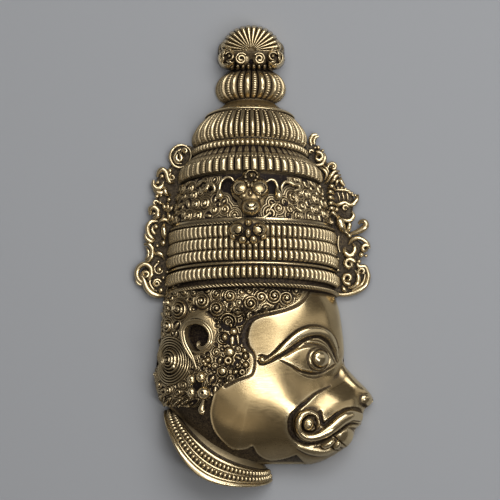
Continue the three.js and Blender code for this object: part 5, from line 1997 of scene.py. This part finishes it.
RIGHT_WIRES = (
    # hook at the top
    ((12.5, 74.2, 1.2, 0.26), (12.3, 75.3, 1.3, 0.3), (12.8, 76.3, 1.3, 0.3), (13.7, 76.5, 1.3, 0.18)),
    ((13.1, 74.4, 1.2, 0.22), (13.1, 75.3, 1.3, 0.26), (13.5, 75.9, 1.3, 0.24), (14.1, 76.1, 1.3, 0.14)),
    # arc under the first spiral
    ((12.4, 70.6, 1.3, 0.14), (13.5, 69.9, 1.6, 0.28), (14.8, 70.2, 1.6, 0.3), (15.4, 71.4, 1.5, 0.28),
     (15.2, 72.5, 1.3, 0.14)),
    # wavy locks
    ((14.1, 69.4, 1.4, 0.14), (15.2, 68.9, 1.7, 0.26), (15.8, 67.9, 1.8, 0.26), (15.4, 66.8, 1.6, 0.14)),
    ((15, 69.8, 1.4, 0.12), (15.8, 69.2, 1.7, 0.22), (16.2, 68.3, 1.7, 0.14)),
    ((18.5, 68.6, 1.4, 0.14), (17.5, 68.5, 1.7, 0.28), (16.7, 67.7, 1.8, 0.28), (16.1, 66.6, 1.6, 0.24),
     (15.3, 66, 1.4, 0.12)),
    ((18.8, 67.8, 1.4, 0.14), (17.8, 67.6, 1.7, 0.28), (17.2, 66.7, 1.8, 0.28), (16.5, 65.8, 1.5, 0.14)),
    ((18.6, 66.8, 1.4, 0.14), (18, 66.4, 1.7, 0.26), (17.7, 65.5, 1.6, 0.14)),
    ((18.8, 67.4, 1.2, 0.1), (18.9, 66.4, 1.5, 0.32), (19.6, 65.5, 1.4, 0.18)),
    # open jaw: bead rim above, lip below, teeth behind
    ((22.5, 63.6, 1.2, 0.16), (22.2, 62.5, 1.5, 0.34), (21.5, 61.6, 1.7, 0.36), (20.6, 61.4, 1.7, 0.32),
     (19.6, 61.9, 1.7, 0.3), (18.4, 61.5, 1.7, 0.36), (17.3, 61.4, 1.5, 0.16)),
    ((17.2, 64.6, 1.3, 0.16), (18.6, 64.6, 1.4, 0.22), (20.2, 64.4, 1.4, 0.22), (21.6, 63.3, 1.3, 0.16)),
    ((15.9, 64.8, 2, 0.12), (16.8, 65.4, 2.4, 0.34), (17.6, 64.6, 1.8, 0.16)),
    ((15.7, 63.7, 2, 0.12), (16.5, 64.2, 2.4, 0.34), (17.4, 63.7, 1.8, 0.16)),
    ((15.7, 62.6, 2, 0.12), (16.5, 63, 2.4, 0.34), (17.4, 62.7, 1.8, 0.16)),
    ((15.8, 61.2, 2, 0.12), (16.6, 61.8, 2.4, 0.34), (17.6, 61.5, 1.8, 0.16)),
    ((15.9, 59.9, 2, 0.12), (16.7, 60.7, 2.3, 0.32), (17.5, 60.4, 1.9, 0.26), (18, 60, 1.6, 0.14)),
    ((16.1, 59.1, 1.8, 0.12), (17, 59.7, 2.2, 0.3), (17.7, 59.1, 1.9, 0.28), (18.2, 58.6, 1.6, 0.16)),
    ((18.2, 63.9, 1.1, 0.1), (18.5, 63, 1.25, 0.14), (18.6, 62, 1.1, 0.1)),
    ((19.1, 64, 1.1, 0.1), (19.4, 63, 1.25, 0.14), (19.4, 62.2, 1.1, 0.1)),
    ((20.1, 64, 1.1, 0.1), (20.3, 63, 1.25, 0.14), (20.2, 62, 1.1, 0.1)),
    # ring under the jaw
    ((18.6, 58.9, 1.4, 0.16), (19.6, 58.1, 1.7, 0.34), (20.8, 58.1, 1.7, 0.36), (21.5, 59, 1.6, 0.32),
     (21.2, 60.1, 1.4, 0.14)),
    # bodies and tusk
    ((18.3, 59.2, 1.6, 0.18), (18.5, 58.1, 1.9, 0.6), (18.9, 56.9, 2, 0.64), (19.5, 55.9, 1.7, 0.4),
     (20.4, 55.1, 1.5, 0.2)),
    ((20.6, 58, 1.5, 0.16), (20.7, 57.1, 1.7, 0.34), (20.4, 56.2, 1.7, 0.34), (20.2, 55.4, 1.5, 0.2)),
    ((20.9, 55.1, 1.3, 0.26), (22.2, 55.6, 1.5, 0.38), (23.5, 56.2, 1.6, 0.46), (24.2, 57, 1.6, 0.46),
     (23.9, 57.8, 1.6, 0.42), (23.1, 57.8, 1.5, 0.3), (22.6, 57.3, 1.4, 0.2)),
    # scrolls below
    ((20.5, 52.9, 1.3, 0.14), (21.2, 53.9, 1.5, 0.3), (22.4, 54.3, 1.6, 0.34), (23.6, 53.9, 1.5, 0.34),
     (24.6, 53, 1.4, 0.3), (24.9, 52, 1.3, 0.2)),
    ((19.7, 52.2, 1.4, 0.2), (19.8, 51.1, 1.6, 0.42), (20.7, 50.5, 1.7, 0.44), (21.6, 51.2, 1.7, 0.38),
     (21.8, 52.3, 1.5, 0.3), (21.4, 53.1, 1.3, 0.14)),
    ((21.9, 47.4, 1.3, 0.14), (22.5, 46.2, 1.5, 0.34), (22.4, 44.8, 1.6, 0.38), (21.5, 43.8, 1.5, 0.34),
     (20.3, 43.7, 1.4, 0.16)),
    ((22.4, 49.2, 1.3, 0.2), (22.6, 48.2, 1.5, 0.34), (24, 48.2, 1.4, 0.3), (24.5, 47.2, 1.3, 0.3),
     (24.7, 45.9, 1.3, 0.36), (24.1, 44.2, 1.3, 0.38), (22.6, 43, 1.3, 0.38), (20.6, 42.3, 1.2, 0.36),
     (18.6, 42.2, 1.2, 0.3), (17.5, 42.8, 1.1, 0.14)),
    ((24, 46.6, 1.4, 0.12), (23.7, 45.1, 1.5, 0.2), (22.8, 44, 1.5, 0.2), (21.2, 43, 1.4, 0.14)),
    ((19.2, 44.2, 1.3, 0.14), (19.4, 43.4, 1.5, 0.36), (20, 42.8, 1.4, 0.2)),
    ((18.4, 54.8, 1.2, 0.12), (18.2, 53, 1.3, 0.18), (18.6, 51.2, 1.2, 0.12)),
)
RIGHT_WING = Wing(
    "right_wing",
    through((42.2, 16), (57, 16), (62, 15.2), (66, 13.8), (70, 12.4), (74.6, 11.2)),
    through((42.2, 19.4), (43, 22), (44.2, 23.6), (46, 24.2), (47.6, 23.9), (49, 22.8),
            (50.4, 23.2), (52, 24), (53.4, 23), (54.6, 21.2), (56.4, 20.8), (58.4, 21.2),
            (60.4, 21.4), (62, 21.6), (63.4, 21.4), (64.8, 19.9), (66.4, 18.9), (68.6, 18),
            (70, 16.4), (71.4, 15.1), (73, 14.7), (74.6, 13.2)),
    42.2,
    74.6,
    (
        Spiral(14, 71.6, 1.15, 120, -1.15, 0.34, 1.5, 2.2),
        Spiral(17.1, 69.5, 1.15, 200, -1, 0.28, 1.4, 1.9),
        Spiral(19.7, 60.7, 0.72, 0, 1.1, 0.2, 1.6, 2.1),
        Spiral(24, 52, 0.95, 20, 1, 0.36, 1.4, 2),
        Spiral(20.6, 48.7, 1.25, 10, 1.25, 0.4, 1.5, 2.3),
        Spiral(20.3, 45.7, 1.3, 300, -1.2, 0.36, 1.5, 2.3),
        Spiral(23.3, 47.1, 0.95, 240, -1.1, 0.28, 1.4, 2.1),
        Spiral(14.4, 62, 0.9, 100, 1.2, 0.22, 1.6, 2.1),
        Spiral(12.4, 72.7, 0.55, 0, 1, 0.2, 1.4, 1.8),
    ),
    RIGHT_WIRES,
    (
        (14, 73.7, 0.42), (13.3, 73.6, 0.34), (14.9, 73, 0.38), (15.1, 72.3, 0.3), (17.2, 69.6, 0.5),
        (18.2, 65, 0.34), (19, 65, 0.34), (19.8, 64.8, 0.34), (20.5, 64.4, 0.34), (21.2, 63.9, 0.34),
        (21.9, 63.4, 0.36), (17.9, 60.4, 0.55), (19.7, 60.7, 0.4), (20.6, 54.8, 0.55), (23.2, 50.7, 0.6),
        (22.7, 49.3, 0.5), (24.2, 50.5, 0.4), (18.2, 49.8, 0.4), (18.2, 47.4, 0.4), (18.4, 45, 0.36),
        (18.9, 56, 0.3),
    ),
)


# Ear and earring


@dataclass
class EarRing:
    """The grooved rim of the ear and the beads that hang under it."""

    face: FaceShape
    beads: Points = (
        (-13, 24.3, 0.95, 1.15), (-10.95, 24.85, 1.05, 1.2), (-13, 21.6, 0.95, 1.15),
        (-10.35, 21.6, 1.45, 1.4),
    )
    rim: Points = (
        (-12, 26.9), (-12.8, 28.8), (-13.6, 30.2), (-14.5, 31.9), (-14.9, 33.6), (-14.9, 34.8),
        (-14.1, 36), (-12.5, 36.6), (-10.9, 36.4), (-9.7, 35.5), (-9, 34.3), (-8.9, 33),
        (-9.3, 32), (-10.1, 31.2), (-10.9, 31), (-11.5, 31.35), (-11.6, 31.95), (-11.15, 32.2),
    )
    drop: Points = (
        (-10.4, 20.2, 0.3), (-10.7, 19.1, 0.45), (-10.9, 18.1, 0.72), (-10.7, 17.5, 0.6),
        (-10.3, 17.9, 0.2),
    )

    def bead(self, x: float, y: float, rx: float, ry: float) -> Form:
        """Makes one bead with its drilled hole.

        Args:
            x: its middle across.
            y: its middle up.
            rx: half its width.
            ry: half its height.

        Returns:
            The closed form.
        """
        theta = np.linspace(0.02, np.pi, 34)[:, None]
        phi = np.linspace(0, 2 * np.pi, 49)[None, :-1]
        across, up = np.sin(theta) * np.cos(phi), np.sin(theta) * np.sin(phi)
        away = np.hypot(across + 0.28, up - 0.05) + 2.0 * (theta > 1.5)
        hole = ease((0.25 - away) / 0.08)
        size = 1 - 0.5 * hole
        base = float(self.face.height(np.array(x), np.array(y))) + 0.55 * rx
        points = np.stack([
            x + rx * size * across,
            y + ry * size * up,
            base + rx * size * np.cos(theta) + 0 * phi,
        ], -1)
        # painted shade on the bead's back half, which turns to the back plane
        soot = np.maximum(hole, 0.9 * ease((theta - 1.2) / 0.6) + 0 * phi)
        ends = [[x, y, base + rx * float(size[0].mean())], [x, y, base - rx]]
        return ring_form(points, ends, np.r_[soot.ravel(), float(hole[0].mean()), 1.0])

    def build(self, wires: Tree, finish: Material) -> None:
        """Builds the two wires of the rim, the drop and the beads.

        Args:
            wires: tree that sweeps wires.
            finish: the metal's finish.
        """
        path = smooth_path(self.rim, 120)
        across = np.gradient(path, axis=0)
        across = np.column_stack([-across[:, 1], across[:, 0]]) / np.linalg.norm(across, axis=1)[:, None]
        t = np.linspace(0, 1, len(path))
        wide = 0.24 * ease(t / 0.16) * mix(1.0, 0.5, ease((t - 0.75) / 0.25))
        paths = []
        for side in (-1, 1):
            line = path + across * (side * wide)[:, None]
            z = self.face.height(*line.T) + mix(0.8, 1.75, ease(t / 0.3)) - 0.5 * ease((t - 0.85) / 0.15)
            paths.append(np.column_stack([line, z, mix(0.18, 0.34, ease(t / 0.2)) * mix(1.0, 0.85, t)]))
        bed = self.face.height(*path.T) + mix(0.4, 1.1, ease(t / 0.3)) - 0.4 * ease((t - 0.85) / 0.15)
        paths.append(np.column_stack([path, bed, mix(0.2, 0.6, ease(t / 0.2)) * mix(1.0, 0.75, t)]))
        paths.append(laid([(x, y, 0.75, r) for x, y, r in self.drop], self.face.height))
        grown("ear_rim", paths, wires, finish, Thickness=SHARE, Sides=12)
        for k, bead in enumerate(self.beads):
            build(f"ear_bead_{k + 1}", self.bead(*bead), [finish])


# The collar


@dataclass
class Collar:
    """The neck's collar: two beaded bands between plain rims."""

    turning: Turning = field(default_factory=lambda: Turning(
        -6.6, 11, 213, COLLAR_DEPTH, lambda at: mix(3.1, 6.4, (at - 3) / 4.6), early=1.1))
    bands: tuple[Band, ...] = (
        # the neck band is darkened with painted shade
        Band(0.0, 2.6, 9.2, 11.3, rows=10, grime_and_shade=0.4),
        Band(2.6, 3.1, 11.0, 11.2, rows=3),
        Band(3.1, 4.0, 11.3, 11.6, 0.5, rows=9),
        Band(4.0, 5.1, 11.7, 11.9, rows=5),
        Band(5.1, 5.7, 12.0, 12.3, 0.4, rows=8),
        Band(5.7, 6.9, 12.4, 12.7, rows=5),
        Band(6.9, 7.5, 12.9, 13.1, 0.35, rows=7),
        Band(7.5, 8.7, 13.3, 13.5, 0.4, rows=10),
    )
    columns: int = 220
    beads: int = 40  # in each row
    bead_rows: Points = ((4.55, 11.95, 0.74), (6.3, 12.75, 0.68))

    def build(self, tree: Tree, finishes: Sequence[Material]) -> None:
        """Builds the collar's wall and its two rows of beads.

        Args:
            tree: tree that sets beads.
            finishes: finish of the outside, then of the hollow.
        """
        outer, soot = self.turning.banded(self.bands, self.columns)
        angle = np.linspace(-np.pi / 2, np.pi / 2, self.columns + 1)[None, :]
        foot, top = self.bands[0], self.bands[-1]
        at = np.linspace(foot.low, top.high, 6)[:, None] + 0 * angle
        radius = mix(foot.r_low, top.r_high, at / top.high) - 1.3 * WALL
        inner = self.turning.place(angle, at - 0.8 * WALL * (at > 8), radius)
        build("collar", wall_form(outer, inner, soot), finishes)
        rows = []
        for at, radius, size in self.bead_rows:
            turn = np.linspace(-1.5, 1.5, self.beads)
            spots = self.turning.place(turn, np.full(self.beads, at), np.full(self.beads, radius))
            rows.append(np.column_stack([spots, np.full(self.beads, size)]))
        grown("collar_beads", rows, tree, finishes[0], Size=SHARE, Tall=0.6)


# Stage


@dataclass(frozen=True)
class Lamp:
    """A soft rectangular light: its place and size in metres, its power in watts, its colour."""

    name: str
    place: Triple
    size: tuple[float, float]
    power: float
    colour: Triple = (1.0, 1.0, 1.0)


@dataclass
class Studio:
    """Plain pale ground, soft lights and the camera that looks straight down on the mask."""

    distance: float = 2.5
    view_width: float = 0.3541  # width of the picture at the back plane
    centre: tuple[float, float] = (-0.0027, 0.0053)
    sensor: float = 36.0
    half: float = 2.0  # half the ground's side
    below: float = -0.0003  # the ground's height, a hair under the mask
    glow: tuple[float, float, float, float] = (1.0, 0.95, 0.9, 1)
    glow_strength: float = 0.12
    lamps: tuple[Lamp, ...] = (
        Lamp("window", (0.7, 0.8, 1.52), (1.2, 1.3), 10.6),
        Lamp("strip", (0.72, -0.45, 1.6), (0.24, 1.5), 5.8),
        Lamp("above", (-0.1, 1.25, 1.8), (1.3, 0.6), 7.4),
        Lamp("room", (-0.15, 0.1, 2.75), (2.4, 2.4), 8.0, (1.0, 0.97, 0.93)),
        Lamp("fill", (-0.35, -1.2, 1.7), (1.6, 0.8), 1.0, (1.0, 0.9, 0.76)),
        Lamp("side", (1.65, 0.2, 0.9), (0.7, 1.6), 1.4, (1.0, 0.98, 0.95)),
    )

    def hang(self, lamp_made: Lamp) -> None:
        """Hangs one soft light that shines at the mask.

        Args:
            lamp_made: its name, place, size, power and colour.
        """
        data = bpy.data.lights.new(lamp_made.name, "AREA")
        data.shape = "RECTANGLE"
        data.size, data.size_y = lamp_made.size
        data.energy = lamp_made.power
        data.color = lamp_made.colour
        lamp = bpy.data.objects.new(lamp_made.name, data)
        lamp.location = lamp_made.place
        lamp.rotation_euler = (-lamp.location).to_track_quat("-Z", "Y").to_euler()
        bpy.context.scene.collection.objects.link(lamp)

    def build(self) -> None:
        """Builds the ground, the lights and the camera."""
        mesh = bpy.data.meshes.new("ground")
        turns = ((-1, -1), (1, -1), (1, 1), (-1, 1))
        corners = [(x * self.half, y * self.half, self.below) for x, y in turns]
        mesh.from_pydata(corners, [], [(0, 1, 2, 3)])
        ground = bpy.data.objects.new("ground", mesh)
        mesh.materials.append(Plaster().material())
        bpy.context.scene.collection.objects.link(ground)
        for lamp in self.lamps:
            self.hang(lamp)
        world = bpy.data.worlds.new("room")
        world.use_nodes = True
        background = world.node_tree.nodes["Background"]
        background.inputs["Color"].default_value = self.glow
        background.inputs["Strength"].default_value = self.glow_strength
        scene = bpy.context.scene
        scene.world = world
        scene.view_settings.view_transform = "Standard"
        scene.view_settings.look = "Medium High Contrast"
        data = bpy.data.cameras.new("camera")
        data.sensor_width = self.sensor
        data.lens = self.sensor * self.distance / self.view_width
        data.clip_end = 20.0
        camera = bpy.data.objects.new("camera", data)
        camera.location = (*self.centre, self.distance)
        scene.collection.objects.link(camera)
        scene.camera = camera


def main() -> None:
    """Builds the studio and every piece of the mask."""
    logging.basicConfig(level=logging.INFO, format="%(message)s")
    Studio().build()
    polished = Brass("polished_brass", settle=0.9, smooth=0.16, dull=0.21).material()
    chased = Brass("chased_brass", settle=1.0, smooth=0.18, dull=0.28).material()
    raw_tones = {"body": (0.22, 0.16, 0.1), "bright": (0.4, 0.3, 0.18)}
    raw = Brass("raw_casting", smooth=0.5, dull=0.6, **raw_tones).material()
    wires, beads = wire_tree(), bead_tree()
    face = FaceShape()
    Head(face).build([polished, raw])
    Hair(face).build([chased])
    EarRing(face).build(wires, chased)
    crown = Crown()
    crown.build([chased, raw])
    CrownJewels(crown).build(wires, chased)
    Finial().build(wires, chased)
    for wing in (LEFT_WING, RIGHT_WING):
        wing.build(wires, beads, chased)
    Collar().build(beads, [chased, raw])


if __name__ == "__main__":
    main()
